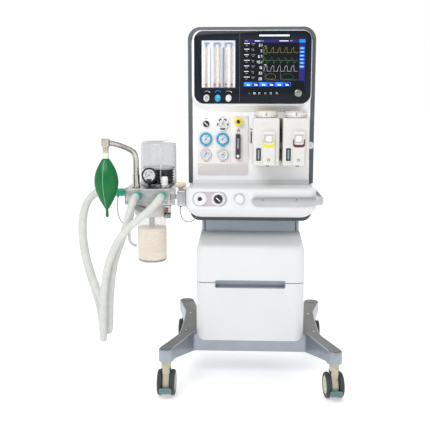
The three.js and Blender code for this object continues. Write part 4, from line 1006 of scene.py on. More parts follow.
def make_front_housing():
    plate = Shape()
    facing(plate, rounded(-212.8, 212.8, 710.4, 1262, (3, 36), 12),
           [(-20.2, 0.4), (-21, 0), (-28.6, 0), (-29.8, 0.5), (-30.3, 1.4)])
    piece = add("front_shell", plate, "machine", "white_shell", PAINTED_LIGHT_WHITE, stands_for=("front_housing",))
    slot = Shape().slab(rounded(-1.4, 3.6, 858, 901.5, 2.2, 6), -34, -27.5, "y", 0.01)
    hole = Shape().pin(2.6, 26, 34, (1.2, 0, 909.5), "y", 24)
    carve(piece, slot, hole, bevel=0.4)
    # A black lining at the back of the slot and the hole: painted shade inside these shallow recesses.
    dark = Shape().slab(rounded(-1.3, 3.5, 858.1, 901.4, 2.1, 6), -28.2, -27, "y", 0.1)
    dark.turned([[0, 27], [2.5, 27], [2.4, 30.8], [1.4, 31.2], [0, 31.2]], (1.2, 0, 909.5), "y", 24)
    add("slot_painted_shade", dark, "machine", "white_shell", INK)

    low = {-30.2: 971.8, -34: 974.6, -38: 978.2, -42: 982.2, -48: 986.8, -56: 991.2, -60: 993.6,
           -62.6: 995.6, -63.6: 997.2, -64: 999.4}
    depth = {-56: 0.8, -60: 1.9, -62.6: 3.4, -63.6: 4.6, -64: 6.6}
    rings = []
    for y, z in low.items():
        d = depth.get(y, 0)
        rings.append([(x, y, v) for x, v in rounded(-213 + d, 213 - d, z, 1264 - d, (44, 38), 14)])
    console = Shape().skin(rings)
    add("console_shell", console, "machine", "white_shell", PAINTED_LIGHT_WHITE)
    edge = Shape()
    line = [(x, -58.2, z) for x, z in rounded(-213.1, 213.1, 992.6, 1263.9, (43, 38), 14)]
    add_loop(edge, line, 0.35)
    add("console_seam", edge, "machine", "white_shell", SEAM_GREY)
    brow = arc(175.6, 1226.2, 38, 2, 90, 14) + arc(-175.6, 1226.2, 38, 90, 178, 14)
    brow += arc(-178.4, 1222.4, 34.4, 180, 90, 14) + arc(178.4, 1222.4, 34.4, 90, 0, 14)
    add("console_brow", Shape().slab(brow, -64.8, -50, "y", 0.3), "machine", "rear_shell", DARK)


def add_loop(shape, line, radius, kind=0, sides=8):
    """A thin closed bead along a line that faces the front."""
    line = [Vector(p) for p in line]
    count, first = len(line), len(shape.points)
    for i, point in enumerate(line):
        way = (line[(i + 1) % count] - line[i - 1]).normalized()
        side = way.cross(Vector((0, 1, 0))).normalized()
        for k in range(sides):
            t = 2 * math.pi * k / sides
            out = Vector((0, 1, 0)) * radius * math.sin(t)
            shape.points.append(point + side * radius * math.cos(t) + out)
    for i in range(count):
        here, there = first + i * sides, first + (i + 1) % count * sides
        for k in range(sides):
            after = (k + 1) % sides
            shape.faces.append((here + k, here + after, there + after, there + k))
            shape.kinds.append(kind)


GLASS_Y, SCREEN_Y, TUBE_Y = -69.3, -68.1, -68.3


def make_bezel():
    outline = rounded(-202.8, 208.8, 1002.2, 1252.8, (34, 30), 14)
    glass = facing(Shape(), outline, [(-64.4, 0), (-68.4, 0), (-69.0, 0.4), (-69.3, 1.2)])
    piece = add("front_glass", glass, "machine", "glass_panel", GLASS, stands_for=("display_bezel",))
    screen = Shape().slab(rounded(-28, 188, 1058, 1225, 1.5, 2), -72, -66.8, "y", 0.01)
    tubes = Shape().slab(rounded(-177, -58, 1058, 1221, 2, 2), -72, -66.8, "y", 0.01)
    carve(piece, screen, tubes, bevel=0.25)
    rim = Shape()
    line = rounded(-203.6, 209.6, 1001.4, 1253.6, (34.6, 30.6), 14)
    add_loop(rim, [(x, -66.6, z) for x, z in line], 0.9)
    add("glass_rim", rim, "machine", "glass_panel", RAIL)
    marks = Shape()
    flat(marks, 25, 132, 1234.4, 1240, GLASS_Y, 0.35, 2.4, 0)
    flat(marks, -43.2, -41.9, 1010, 1246, GLASS_Y, 0.2, 0.5, 1)
    for x, drawn in ((-158, "dots"), (-119.2, "band"), (-81.1, "dots")):
        if drawn == "band":
            band = arc(x, 1035.5, 12.6, 155, 25, 14) + arc(x, 1035.5, 11.0, 25, 155, 14)
            marks.slab(band[::-1], GLASS_Y - 0.25, GLASS_Y + 0.1, "y", 0.02, kind=2)
            continue
        for k in range(9):
            t = math.radians(150 - 15 * k)
            px, pz, size = x + 11.5 * math.cos(t), 1037 + 9 * math.sin(t), 0.5 + 0.09 * k
            marks.pin(size, 69.2, 69.45, (px, 0, pz), "y", 12)
    for x, drawn in ((-9, "fan"), (10.2, "grid"), (27.2, "box"), (48.8, "ring"), (68.3, "box"),
                     (89.5, "ring")):
        add_icon(marks, x, 1038, drawn)
    add("glass_print", marks, "machine", "glass_panel", GLOW_WHITE, OLIVE, AZURE, GLOW_GREEN)


def add_icon(marks, x, z, drawn):
    """A simple outline: a green fan of bars, a grid of squares, a box or a ring."""
    if drawn == "fan":
        for k in range(3):
            flat(marks, x - 3 + 2.4 * k, x - 1.8 + 2.4 * k, z - 1.2 - k, z + 1.2 + k, GLASS_Y, 0.2, 0.3, 3)
    elif drawn == "grid":
        for i in (-1, 1):
            for j in (-1, 1):
                flat(marks, x + i * 1.9 - 1.3, x + i * 1.9 + 1.3, z + j * 1.9 - 1.3, z + j * 1.9 + 1.3,
                     GLASS_Y, 0.2, 0.4)
    elif drawn == "box":
        for u0, u1, v0, v1 in ((-3.2, 3.2, 2.3, 3), (-3.2, 3.2, -3, -2.3), (-3.2, -2.5, -3, 3),
                               (2.5, 3.2, -3, 3)):
            flat(marks, x + u0, x + u1, z + v0, z + v1, GLASS_Y, 0.2, 0.1)
    else:
        marks.turned([[2.4, 69.2], [2.4, 69.5], [3.2, 69.5], [3.2, 69.2]], (x, 0, z), "y", 24)


def flat(shape, x0, x1, z0, z1, y, proud=0.2, corner=0.3, kind=0):
    """A thin print or key on a face that looks to the front."""
    corner = min(corner, (x1 - x0) * 0.49, (z1 - z0) * 0.49)
    shape.slab(rounded(x0, x1, z0, z1, max(corner, 0.02), 2), y - proud, y + 0.15, "y", 0.02, kind)


SEGMENTS = {"0": "abcdef", "1": "bc", "2": "abged", "3": "abgcd", "4": "fgbc", "5": "afgcd",
            "6": "afgedc", "7": "abc", "8": "abcdefg", "9": "abcdfg"}


def add_number(shape, text, right, z, high, kind, y=SCREEN_Y):
    """Bar figures, set from the right."""
    wide, thick = high * 0.52, high * 0.13
    for sign in reversed(text):
        if sign == ".":
            flat(shape, right - thick, right, z, z + thick, y, 0.15, 0.1, kind)
            right -= thick * 2
            continue
        left, mid = right - wide, z + high / 2
        bars = {
            "a": (left, right, z + high - thick, z + high), "d": (left, right, z, z + thick),
            "g": (left, right, mid - thick / 2, mid + thick / 2), "b": (right - thick, right, mid, z + high),
            "c": (right - thick, right, z, mid), "e": (left, left + thick, z, mid),
            "f": (left, left + thick, mid, z + high),
        }
        for part in SEGMENTS[sign]:
            flat(shape, *bars[part], y, 0.15, 0.05, kind)
        right = left - high * 0.2


def add_trace(shape, points, width, kind):
    """A thin line on the display through [x, z] points."""
    for (x0, z0), (x1, z1) in zip(points, points[1:]):
        way = Vector((x1 - x0, z1 - z0))
        if way.length < 1e-6:
            continue
        across = Vector((-way.y, way.x)).normalized() * width / 2
        along = way.normalized() * width * 0.3
        a, b = Vector((x0, z0)) - along, Vector((x1, z1)) + along
        quad = [a - across, b - across, b + across, a + across]
        shape.slab([tuple(p) for p in quad], SCREEN_Y - 0.15, SCREEN_Y + 0.1, "y", 0.01, kind)


def make_display():
    shape = facing(Shape(), rounded(-27.7, 187.7, 1058.3, 1224.7, 1, 2), [(-67.1, 0), (SCREEN_Y, 0)])
    white, grey, indigo, azure, yellow, green = range(1, 7)
    flat(shape, -27.4, 187.4, 1213.2, 1224.4, SCREEN_Y, 0.08, 0.1, indigo)
    flat(shape, 166.3, 187, 1213, 1224, SCREEN_Y, 0.14, 0.8, azure)
    for x0, x1 in ((-25, -14), (10, 30), (34, 41), (96, 128), (134, 142)):
        flat(shape, x0, x1, 1217.4, 1220, SCREEN_Y, 0.13, 0.2, white if x0 in (10, 96) else grey)
    flat(shape, 166.3, 187, 1080.8, 1212.6, SCREEN_Y, 0.06, 0.1, indigo)
    flat(shape, 185.8, 187.4, 1060, 1212.6, SCREEN_Y, 0.08, 0.1, indigo)
    for z0, z1 in ((1189, 1198.3), (1177.1, 1184.6), (1164, 1171.9), (1151.7, 1159.2),
                   (1139, 1147.2), (1125.2, 1135.2)):
        flat(shape, 168, 184.6, z0, z1, SCREEN_Y, 0.14, 0.8, azure)
        flat(shape, 171, 181, (z0 + z1) / 2 - 0.8, (z0 + z1) / 2 + 0.8, SCREEN_Y, 0.2, 0.2, white)
    rows = ("21", "5", "6.7", "451", "16", "33", "20")
    for k, text in enumerate(rows):
        z = 1199.5 - 19.25 * k
        add_number(shape, text, 36, z, 9, white)
        flat(shape, -27, -7 - (k % 3) * 2, z + 9.6, z + 11.6, SCREEN_Y, 0.13, 0.2, white)
        flat(shape, -22, -15, z + 3.2, z + 5.2, SCREEN_Y, 0.13, 0.2, grey)
        flat(shape, -2, 12 - (k % 2) * 4, z + 9.4, z + 11, SCREEN_Y, 0.13, 0.2, grey)
        flat(shape, 2, 8, z + 4.4, z + 5.8, SCREEN_Y, 0.13, 0.2, grey)
        flat(shape, -27.4, 38.5, z - 3.5, z - 3.1, SCREEN_Y, 0.08, 0.05, indigo)
    waves = (
        (1178.6, yellow, ((0, 0), (2.5, 11), (6, 16), (9, 18), (10, 3), (12, 0), (23, 0))),
        (1152, green, ((0, 0), (2, 11), (5, 8), (9, 0), (10, -11), (13, -7), (17, -2), (23, 0))),
        (1114.6, white, ((0, 0), (3, 14), (8, 20), (11, 17), (12, 0), (23, 0))),
    )
    for z, kind, wave in waves:
        line = [(43 + i * 23.6 + u, z + v) for i in range(5) for u, v in wave]
        add_trace(shape, line, 0.5, kind)
        flat(shape, 40.4, 40.9, z - 6, z + 21, SCREEN_Y, 0.1, 0.05, grey)
        flat(shape, 40.4, 163, z - 0.3, z, SCREEN_Y, 0.07, 0.05, grey)
        flat(shape, 44, 52, z + 21.5, z + 23, SCREEN_Y, 0.13, 0.2, kind)
    for x0, x1, kind in ((47, 95.5, yellow), (101.5, 161, green)):
        flat(shape, x0, x0 + 0.5, 1084, 1110, SCREEN_Y, 0.1, 0.05, grey)
        flat(shape, x0, x1, 1084, 1084.5, SCREEN_Y, 0.1, 0.05, grey)
        wide = (x1 - x0) * 0.36
        ring = []
        for i in range(23):
            t = 2 * math.pi * i / 22
            across = wide * 1.15 + wide * math.cos(t) * (1 - 0.2 * math.sin(t))
            ring.append((x0 + across, 1096.8 + 10 * math.sin(t)))
        add_trace(shape, ring, 0.5, kind)
    flat(shape, -27.4, 138.4, 1062.2, 1076.8, SCREEN_Y, 0.06, 0.1, azure)
    for k in range(6):
        x = -25.6 + 27.4 * k
        flat(shape, x, x + 25.6, 1063, 1076, SCREEN_Y, 0.11, 0.8, indigo if k % 2 else azure)
        flat(shape, x + 3, x + 16, 1071.6, 1073.4, SCREEN_Y, 0.17, 0.2, grey)
        flat(shape, x + 8, x + 20, 1065, 1068.6, SCREEN_Y, 0.17, 0.2, white)
    add("display_face", shape, "machine", "screen", SCREEN, GLOW_WHITE, GLOW_GREY, INDIGO, AZURE,
        GLOW_YELLOW, GLOW_GREEN, stands_for=("display_screen",))


TUBE_X = (-161, -131, -113, -92, -71)


def make_flow_tubes():
    outline = rounded(-176.8, -58.2, 1058.2, 1220.8, 2, 3)
    shape = facing(Shape(), outline, [(-67.2, 0), (-68.1, 0), (TUBE_Y, 0.3)])
    ink, blue, grey, beige = range(1, 5)
    flat(shape, -176.4, -58.6, 1197.4, 1220.4, TUBE_Y, 0.25, 1.4, blue)
    for x in (-158, -124, -80):
        flat(shape, x - 9, x + 9, 1208.5, 1214, TUBE_Y - 0.25, 0.12, 0.4, grey)
    flat(shape, -143.6, -103.6, 1058.6, 1197, TUBE_Y, 0.12, 0.2, blue)
    for x0, x1 in ((-138, -109), (-90, -66), (-167, -154.6)):
        flat(shape, x0, x1, 1058.8, 1196.8, TUBE_Y, 0.16, 0.2, beige)
    flat(shape, -103.4, -95.9, 1058.6, 1197, TUBE_Y, 0.2, 0.2, grey)
    flat(shape, -146.4, -143.8, 1058.6, 1197, TUBE_Y, 0.2, 0.2, grey)
    for k in range(31):
        z = 1190 - 4.05 * k
        wide = 4.2 if k % 5 == 0 else 2.6
        flat(shape, -171.4, -171.4 + wide, z, z + 1.1, TUBE_Y - 0.1, 0.12, 0.1, ink)
        flat(shape, -152.4 + 4.2 - wide, -148.2, z, z + 1.1, TUBE_Y - 0.1, 0.12, 0.1, ink)
        for x in (-125, -107.8, -85.5, -64.6):
            flat(shape, x - wide * 0.5, x + wide * 0.5, z + 0.2, z + 0.9, TUBE_Y - 0.1, 0.12, 0.1,
                 ink if k % 5 == 0 else grey)
    add("flow_scale", shape, "machine", "flow_tubes", PAPER, INK, PALE_BLUE, GREY_INK, COLUMN,
        stands_for=("flowmeter_block",))
    tubes, floats = Shape(), Shape()
    for x in TUBE_X:
        tubes.turned([[2.6, 1063.5], [4.2, 1063.5], [4.3, 1196], [3.3, 1203], [3.2, 1209], [2.4, 1209],
                      [2.6, 1200]], (x, -71.2, 0), "z", 20)
        floats.turned([[0, 1066], [1.0, 1066.4], [2.1, 1068.2], [2.1, 1070.8], [1.4, 1071.6], [0, 1071.6]],
                      (x, -71.2, 0), "z", 16, kind=0)
        for z0, z1 in ((1059.4, 1063.7), (1207.6, 1212.6)):
            floats.turned([[0, z0], [4.9, z0], [4.9, z1 - 1], [3.8, z1], [0, z1]], (x, -70.6, 0), "z", 20,
                          edge=0.4, kind=1)
        floats.turned([[0.5, 1063.8], [0.5, 1207.5]], (x, -71.2, 0), "z", 8, kind=1)
    add("flow_tube_glass", tubes, "machine", "flow_tubes", TUBE_GLASS)
    add("flow_floats", floats, "machine", "flow_tubes", RED, RAIL)


# ------------------------------------------------------------------------------- knobs
def oval_knob(shape, x, z, wide, tall, back, deep, lean, kind=0, flutes=14):
    """A fluted knob with an oval face, leaning by an angle."""
    rings = []
    turn = math.radians(lean)
    for share, size in ((0, 0.80), (0.12, 0.82), (0.18, 0.96), (0.26, 1.0), (0.86, 0.97), (0.95, 0.92),
                        (0.99, 0.84), (1.0, 0.74)):
        ring = []
        for i in range(84):
            t = 2 * math.pi * i / 84
            grip = 1 - (0.035 * (0.5 + 0.5 * math.cos(flutes * t)) if 0.2 < share < 0.9 else 0.0)
            u, v = wide * size * grip * math.cos(t), tall * size * grip * math.sin(t)
            ring.append((x + u * math.cos(turn) - v * math.sin(turn), back - deep * share,
                         z + u * math.sin(turn) + v * math.cos(turn)))
        rings.append(ring)
    return shape.skin(rings, kind)


def make_console_knobs():
    for gas, x, slot, finish, mark, cap in (
        ("air", -159, "white_knob", PALE, BLACK, CHROME),
        ("nitrous_oxide", -119, "blue_plastic", BLUE, PALE_BLUE, BLUE),
        ("oxygen", -81, "white_knob", PALE, SEAM_GREY, PALE),
    ):
        knob = Shape()
        knob.turned([[0, 69.7], [9.4, 69.7], [9.6, 71], [8.6, 74.8], [0, 74.8]], (x, 0, 1021), "y", 40,
                    edge=0.3, kind=1)
        oval_knob(knob, x, 1021, 10.8, 12.9, -73.4, 23, -12)
        knob.join(Shape().block(-1.1, 1.1, -96.75, -95, 1.5, 8.5, 0.5, kind=1),
                  spin((x, 0, 1021), "Y", math.radians(12)))
        oval_knob(knob, x, 1021, 6.6, 8.2, -95.9, 0.75, -12, 2, 0)
        add(gas + "_knob_cap", knob, gas + "_flow_knob", slot, finish, mark, cap,
            stands_for=(gas + "_flow_knob",))
    menu = Shape()
    spot = (164, 0, 1038)
    menu.turned([[0, 69.7], [14.9, 69.7], [15, 72], [14, 73.2], [0, 73.2]], spot, "y", 56, edge=0.3,
                kind=1)
    menu.grooved(
        [(72.8, 13.2), (73.6, 13.5), (85.5, 13.1), (87.2, 12.4), (88.1, 11), (88.4, 9.6)],
        spot, "y", 96, (4, 2, 73.2, 86), 0.35)
    menu.turned([[0, 88.2], [9.2, 88.2], [8.8, 88.45], [0, 88.0]], spot, "y", 48)
    add("menu_knob_cap", menu, "menu_knob", "chrome", ENCODER, BLACK, stands_for=("menu_knob",))


# ------------------------------------------------------------------------- gauge panel
PANEL_Y = -34.3
# Each gauge: its middle's x and z, and its radius.
AIR_GAUGES = ((-103, 929, 21),)
NITROUS_OXIDE_GAUGES = ((-164, 874, 22.5), (-103, 874, 22.5))
OXYGEN_GAUGES = ((-164, 818, 19.5), (-103, 818, 19.5))
AUXILIARY_SPOT = (-47, 0, 814)


def make_gauge_panel():
    outline = rounded(-194.8, -10.2, 742.2, 960.8, 6, 6)
    plate = facing(Shape(), outline, [(-30.4, 0.3), (-33.5, 0), (-34.1, 0.3), (-34.3, 0.9)])
    piece = add("gauge_plate", plate, "machine", "panel", PANEL, stands_for=("gauge_panel",))
    wells = [Shape().pin(r + 0.9, 31.6, 40, (x, 0, z), "y", 48)
             for x, z, r in AIR_GAUGES + NITROUS_OXIDE_GAUGES + OXYGEN_GAUGES]
    carve(piece, *wells, bevel=0.3)
    prints = Shape()
    flat(prints, -194.2, -10.8, 778, 785, PANEL_Y, 0.12, 0.4, 0)
    flat(prints, -194.2, -10.8, 743, 777.9, PANEL_Y, 0.10, 5.5, 1)
    flat(prints, -75.5, -74.9, 786, 951, PANEL_Y, 0.12, 0.2, 2)
    for x, z in ((-49.6, 903.6), (-42.6, 903.6), (-46.1, 909.3)):
        prints.turned([[0, 34.2], [2.6, 34.2], [2.5, 34.6], [0, 34.6]], (x, 0, z), "y", 20, kind=3)
    for x, z, wide in ((-164, 847.5, 16), (-103, 847.5, 16), (-164, 792.5, 14), (-103, 792.5, 14),
                       (-163, 948.5, 12), (-103, 954.2, 12)):
        flat(prints, x - wide / 2, x + wide / 2, z - 0.9, z + 0.9, PANEL_Y, 0.14, 0.3, 2)
    add("gauge_prints", prints, "machine", "panel", BAND, PANEL_LOW, GREY_INK, INK)
    screws = Shape()
    for x in (-188, -17):
        for z in (749, 954):
            add_screw(screws, (x, PANEL_Y, z), "y", 2.6)
    add("gauge_plate_screws", screws, "machine", "panel", PALE)


def add_gauge(name, nodes, spots, slot, rim, segments=False, tab=False):
    """Pressure gauges: a rim, a printed dial, a needle on its boss and a flat glass."""
    body, glass = Shape(), Shape()
    for x, z, radius in spots:
        at = (x, 0, z)
        wall = 0.22 if segments or tab else 0.11
        body.turned(
            [[0, 32.4], [radius - 0.3, 32.4], [radius - 0.2, 35], [radius, 36], [radius, 43],
             [radius - 0.7, 45.4], [radius - 2.2, 46.4], [radius * (1 - wall), 46.4],
             [radius * (1 - wall) - 1, 45.4], [radius * (1 - wall) - 1.6, 43.2], [0, 43.2]],
            at, "y", 64, edge=0.4)
        inner = radius * (1 - wall) - 1.7
        body.pin(inner, 42.9, 43.5, at, "y", 56, kind=1)
        for k in range(11):
            t = math.radians(225 - 27 * k)
            long = 0.16 if k % 5 == 0 else 0.09
            tick = Shape().block(inner * (0.93 - long), inner * 0.93, -43.72, -43.4, -0.2, 0.2, 0.02, 2)
            body.join(tick, spin(at, "Y", -t))
            if k % 5 == 0:
                dot = Shape().block(inner * 0.56, inner * 0.66, -43.7, -43.4, -0.55, 0.55, 0.02, 2)
                body.join(dot, spin(at, "Y", -t))
        tail, tip = -inner * 0.25, inner * 0.78
        needle = [(tail, -0.55), (tip, -0.16), (tip, 0.16), (tail, 0.55)]
        body.join(Shape().slab(needle, -44.6, -44.1, "y", 0.05, 2), spin(at, "Y", math.radians(-52)))
        body.turned([[0, 43.4], [inner * 0.14, 43.4], [inner * 0.14, 44.9], [inner * 0.09, 45.2], [0, 45.2]],
                    at, "y", 24, kind=2)
        if segments:
            for middle, wide in ((58, 34), (122, 34), (186, 26), (-6, 26), (270, 56)):
                a, b = middle - wide / 2, middle + wide / 2
                band = arc(x, z, radius - 0.6, a, b, 12) + arc(x, z, radius * 0.76, b, a, 12)
                body.slab(band, -46.9, -46.1, "y", 0.15, 3)
        if rim is PAINTED_LIGHT_WHITE and not segments:
            add_loop(body, [(u, -44.6, v) for u, v in arc(x, z, radius - 0.4, 0, 354, 59)], 0.75, 4)
        if tab:
            body.block(x - 4.5, x + 4.5, -46, -36, z - radius - 2.6, z - radius + 3, 1.5)
        glass.turned([[0, 45.5], [inner + 0.9, 45.5], [inner + 0.9, 46.0], [inner * 0.6, 46.3], [0, 46.4]],
                     at, "y", 48)
    add(name, body, "machine", slot, rim, PAPER, INK, BLACK, GREY_INK, stands_for=nodes)
    add(name + "_glass", glass, "machine", slot, TUBE_GLASS)


def make_gauges():
    add_gauge("air_gauge_body", ("air_gauge",), AIR_GAUGES, "gauge_black", PAINTED_LIGHT_WHITE, segments=True)
    add_gauge("nitrous_oxide_gauge_bodies", ("nitrous_oxide_gauges",), NITROUS_OXIDE_GAUGES,
              "gauge_blue", BLUE, tab=True)
    add_gauge("oxygen_gauge_bodies", ("oxygen_gauges",), OXYGEN_GAUGES, "gauge_white", PAINTED_LIGHT_WHITE)
    make_selector()
    make_suction_knob()
    make_auxiliary_flowmeter()


def make_selector():
    spot = (-163, 0, 929)
    pick = Shape().turned([[0, 34.6], [11.4, 34.6], [11.5, 37], [10.9, 43.8], [9.8, 45.2], [0, 45.4]],
                          spot, "y", 40, edge=0.5)
    pick.join(Shape().block(-7.8, 7.8, -46.3, -44, -1.5, 1.5, 0.5, kind=1),
              spin(spot, "Y", math.radians(38)))
    add("selector_cap", pick, "selector", "black_knob", BLACK, PAINTED_LIGHT_WHITE, stands_for=("selector_switch",))


def make_suction_knob():
    spot = (-46, 0, 937)
    draw = Shape().grooved(
        [(34.6, 11.2), (35.4, 11.8), (38, 12.0), (41, 13.8), (43, 14.8), (50.5, 15), (52.3, 14.4),
         (53.2, 13), (53.4, 11)], spot, "y", 96, (8, 4, 42, 52), 0.7)
    draw.turned([[0, 53.2], [7.4, 53.2], [7.2, 54.2], [0, 54.2]], spot, "y", 32, edge=0.3, kind=1)
    add("suction_cap", draw, "suction_knob", "yellow_plastic", YELLOW, PLUM, stands_for=("suction_knob",))


def make_auxiliary_flowmeter():
    tube = Shape().slab(rounded(-55.8, -38.2, 803.2, 892.8, 3.5, 5), -48.2, -34.5, "y", 1.6)
    piece = add("auxiliary_body", tube, "machine", "gauge_black", TRIM, stands_for=("auxiliary_flowmeter",))
    carve(piece, Shape().slab(rounded(-50.6, -43.4, 829, 888, 3.4, 6), -52, -42.5, "y", 0.01), bevel=0.4)
    backing = Shape().slab(rounded(-50.4, -43.6, 840, 877, 2, 4), -43.4, -42.2, "y", 0.2)
    add("auxiliary_backing", backing, "machine", "gauge_black", SEAM_GREY)
    inside = Shape()
    inside.turned([[2.1, 829.5], [3.0, 829.5], [3.2, 887.5], [2.3, 887.5]], (-47, -46.6, 0), "z", 20)
    marks = Shape()
    for k in range(12):
        flat(marks, -54.6, -53 if k % 3 else -52.4, 834 + 4.4 * k, 834.5 + 4.4 * k, -48.2, 0.15, 0.1)
    marks.turned([[0, 831.5], [1.7, 832], [1.7, 834.5], [0, 835.2]], (-47, -46.6, 0), "z", 14, kind=1)
    marks.turned([[0, 48], [8.2, 48], [8.6, 48.4], [8.6, 48.75], [0, 48.75]], AUXILIARY_SPOT, "y", 40,
                 kind=2)
    add("auxiliary_tube", inside, "machine", "gauge_black", TUBE_GLASS)
    add("auxiliary_marks", marks, "machine", "gauge_black", PAPER, RED, DARK)
    knob = Shape().turned([[0, 48.9], [7.6, 48.9], [7.8, 51], [7.6, 60.8], [7.0, 62.4], [5.4, 62.8],
                           [5.0, 61.8], [0, 61.8]], AUXILIARY_SPOT, "y", 40, edge=0.4)
    knob.turned([[0, 61.6], [5.0, 61.6], [4.8, 62.9], [3.6, 63.1], [0, 63.1]], AUXILIARY_SPOT, "y", 32,
                edge=0.3, kind=1)
    rib = Shape().block(7.3, 8.05, -60.5, -51.5, -0.5, 0.5, 0.2)
    for k in range(24):
        knob.join(rib, spin(AUXILIARY_SPOT, "Y", 2 * math.pi * k / 24))
    add("auxiliary_cap", knob, "auxiliary_flow_knob", "black_knob", DARK, PAINTED_LIGHT_WHITE,
        stands_for=("auxiliary_flow_knob",))


# -------------------------------------------------------------------------- vaporizers
def make_vaporizers():
    bar = Shape()
    bar.slab(rounded(8.2, 211.8, 796.2, 947.8, 5, 4), -44.8, -30.5, "y", 1.5)
    piece = add("bar_block", bar, "machine", "chassis_paint", BAR, stands_for=("vaporizer_bar",))
    holes = [Shape().pin(5.5, 38, 50, (x, 0, 908.7), "y", 24)
             for x in (104, 205)]
    carve(piece, *holes, bevel=0.5)
    lugs = Shape()
    for x in (104, 205):
        lugs.pin(4.6, 37.8, 42.6, (x, 0, 908.7), "y", 24, edge=0.5)
        lugs.block(x - 4, x + 4, -46.4, -44.4, 868, 874, 0.8, kind=1)
    add("bar_lugs", lugs, "machine", "chassis_paint", INK, TIN)
    for side, x, finish in (("left", 52, YELLOW), ("right", 156, PLUM)):
        make_vaporizer(side, x, finish)


def make_vaporizer(side, x, accent):
    body = Shape()
    outline = [(x - 46.2, -60.2), *arc(x - 39.2, -133, 7, 180, 270, 6),
               *arc(x + 39.2, -133, 7, 270, 360, 6), (x + 46.2, -60.2)]
    levels = [(786.2, 3), (787, 1.4), (789, 0.3), (792, 0), (946, 0), (949.6, 0.6), (951.8, 1.8),
              (952.8, 3.4)]
    body.skin([[(u, v, z) for u, v in inset(outline, d)] for z, d in levels])
    piece = add("vaporizer_case_" + side, body, "machine", "white_shell", IVORY_SHELL,
                stands_for=("vaporizer_body_" + side,))
    sight = Shape().slab(rounded(x - 34.5, x - 17.5, 803.5, 848.5, 3, 4), -150, -137, "y", 0.01)
    carve(piece, sight, bevel=0.5)
    rear = Shape().block(x - 36, x + 36, -60.6, -46.2, 800, 940, 2)
    add("vaporizer_mount_" + side, rear, "machine", "white_shell", PALE)
    filler = Shape().slab(rounded(x - 12, x + 30, 788.2, 907.8, 4, 4), -150.8, -139.4, "y", 1.8)
    block = add("filler_block_" + side, filler, "machine", "white_shell", IVORY_SHELL)
    notch = Shape().slab(rounded(x - 8, x + 26, 868, 896, 4, 4), -156, -145, "y", 0.01)
    carve(block, notch, bevel=0.7)
    parts = Shape()
    parts.slab(rounded(x - 33.6, x - 18.4, 804.4, 847.6, 2.4, 4), -138.9, -136.8, "y", 0.2, kind=0)
    parts.slab(rounded(x - 29, x - 23, 808.5, 843.5, 2.6, 4), -140.1, -138.4, "y", 0.5, kind=1)
    parts.slab(rounded(x - 7.6, x + 25.6, 868.4, 895.6, 3.6, 4), -145.5, -144, "y", 0.2, kind=2)
    outer = soften([(x - 11.6, 880), (x - 11.6, 852), (x + 29.6, 852), (x + 29.6, 880)], 11, 5)
    inner = soften([(x + 26.4, 880), (x + 25, 861), (x - 7, 861), (x - 8.4, 880)], 7, 5)
    parts.slab(outer + inner, -152.0, -150.4, "y", 0.5, kind=3)
    parts.slab(rounded(x, x + 18, 872, 890, 3, 4), -150.6, -145.2, "y", 1.4, kind=4)
    parts.turned([[0, 150.6], [4.6, 150.6], [4.6, 151.8], [3.8, 152.4], [0, 152.4]], (x + 9, 0, 808), "y",
                 32, edge=0.3, kind=0)
    parts.turned([[0, 152.2], [2.6, 152.2], [2.4, 153.2], [0, 153.2]], (x + 9, 0, 808), "y", 24, kind=4)
    parts.block(x - 1, x + 11, -149.6, -141, 785.4, 788.4, 0.5, kind=0)
    for z in (929, 936):
        parts.block(x - 16, x + 16, -140.5, -139.8, z, z + 1.4, 0.3, kind=2)
    add("vaporizer_parts_" + side, parts, "machine", "white_shell", BLACK, SLATE,
        PALE, accent, PAINTED_LIGHT_WHITE)
    make_vaporizer_dial(side, x, accent)
    lock = Shape()
    lock.turned([[0, 45.4], [6, 45.4], [6, 48], [12.8, 48.4], [12.9, 50], [12.6, 54.6], [11.4, 56],
                 [0, 56.2]], (x + 58, 0, 853), "y", 44, edge=0.5)
    lock.block(x + 46.8, x + 69.2, -57.2, -55.8, 851.4, 854.6, 0.6, kind=1)
    add("vaporizer_lock_cap_" + side, lock, "lock_" + side, "white_knob", PAINTED_SHADE_WHITE, PALE,
        stands_for=("vaporizer_lock_" + side,))


def make_vaporizer_dial(side, x, accent):
    """A fluted dial with two coloured rings, a zero and a scale of ticks."""
    spot = (x, -97, 0)
    dial = Shape().grooved(
        [(953.6, 37), (956.4, 37.4), (956.6, 41.2), (957.6, 41.9), (964, 41.6), (970.5, 39.4),
         (974, 38.0), (975.8, 36.9), (976.9, 35.4), (977.2, 33.4)],
        spot, "z", 120, (5, 2, 957, 971), 0.8)
    dial.turned([[30, 977.0], [30.6, 977.5], [34.6, 977.5], [35.2, 976.6], [30, 976.6]], spot, "z", 72,
                kind=1)
    dial.turned([[38.4, 972.4], [38.9, 972.7], [38.5, 973.5], [37.8, 973.7]], spot, "z", 72, kind=1)
    for x0, x1, z0, z1 in ((-2.6, -1.7, 960.4, 965.6), (0.6, 1.5, 960.4, 965.6), (-2.6, 1.5, 959.6, 960.5),
                           (-2.6, 1.5, 965.5, 966.4), (-0.9, -0.3, 967.6, 970.4)):
        dial.block(x + x0, x + x1, -138.9, -137.6 + (z0 - 960) * 0.12, z0, z1, 0.05, 2)
    for k in (0, 1, 2, 3, 4, 5, 9, 10, 11, 12, 13, 14):
        tick = Shape().block(41.2, 42.05, -0.35, 0.35, 958.4, 962.4 if k % 2 else 964, 0.05, 2)
        dial.join(tick, spin(spot, "Z", math.radians(-90 + 9 * (k - 7) * 1.3)))
    dial.turned([[0, 976.8], [16, 976.8], [15.4, 977.25], [0, 977.3]], spot, "z", 40)
    add("vaporizer_dial_cap_" + side, dial, "dial_" + side, "white_knob", IVORY_SHELL, accent, INK,
        stands_for=("vaporizer_dial_" + side,))


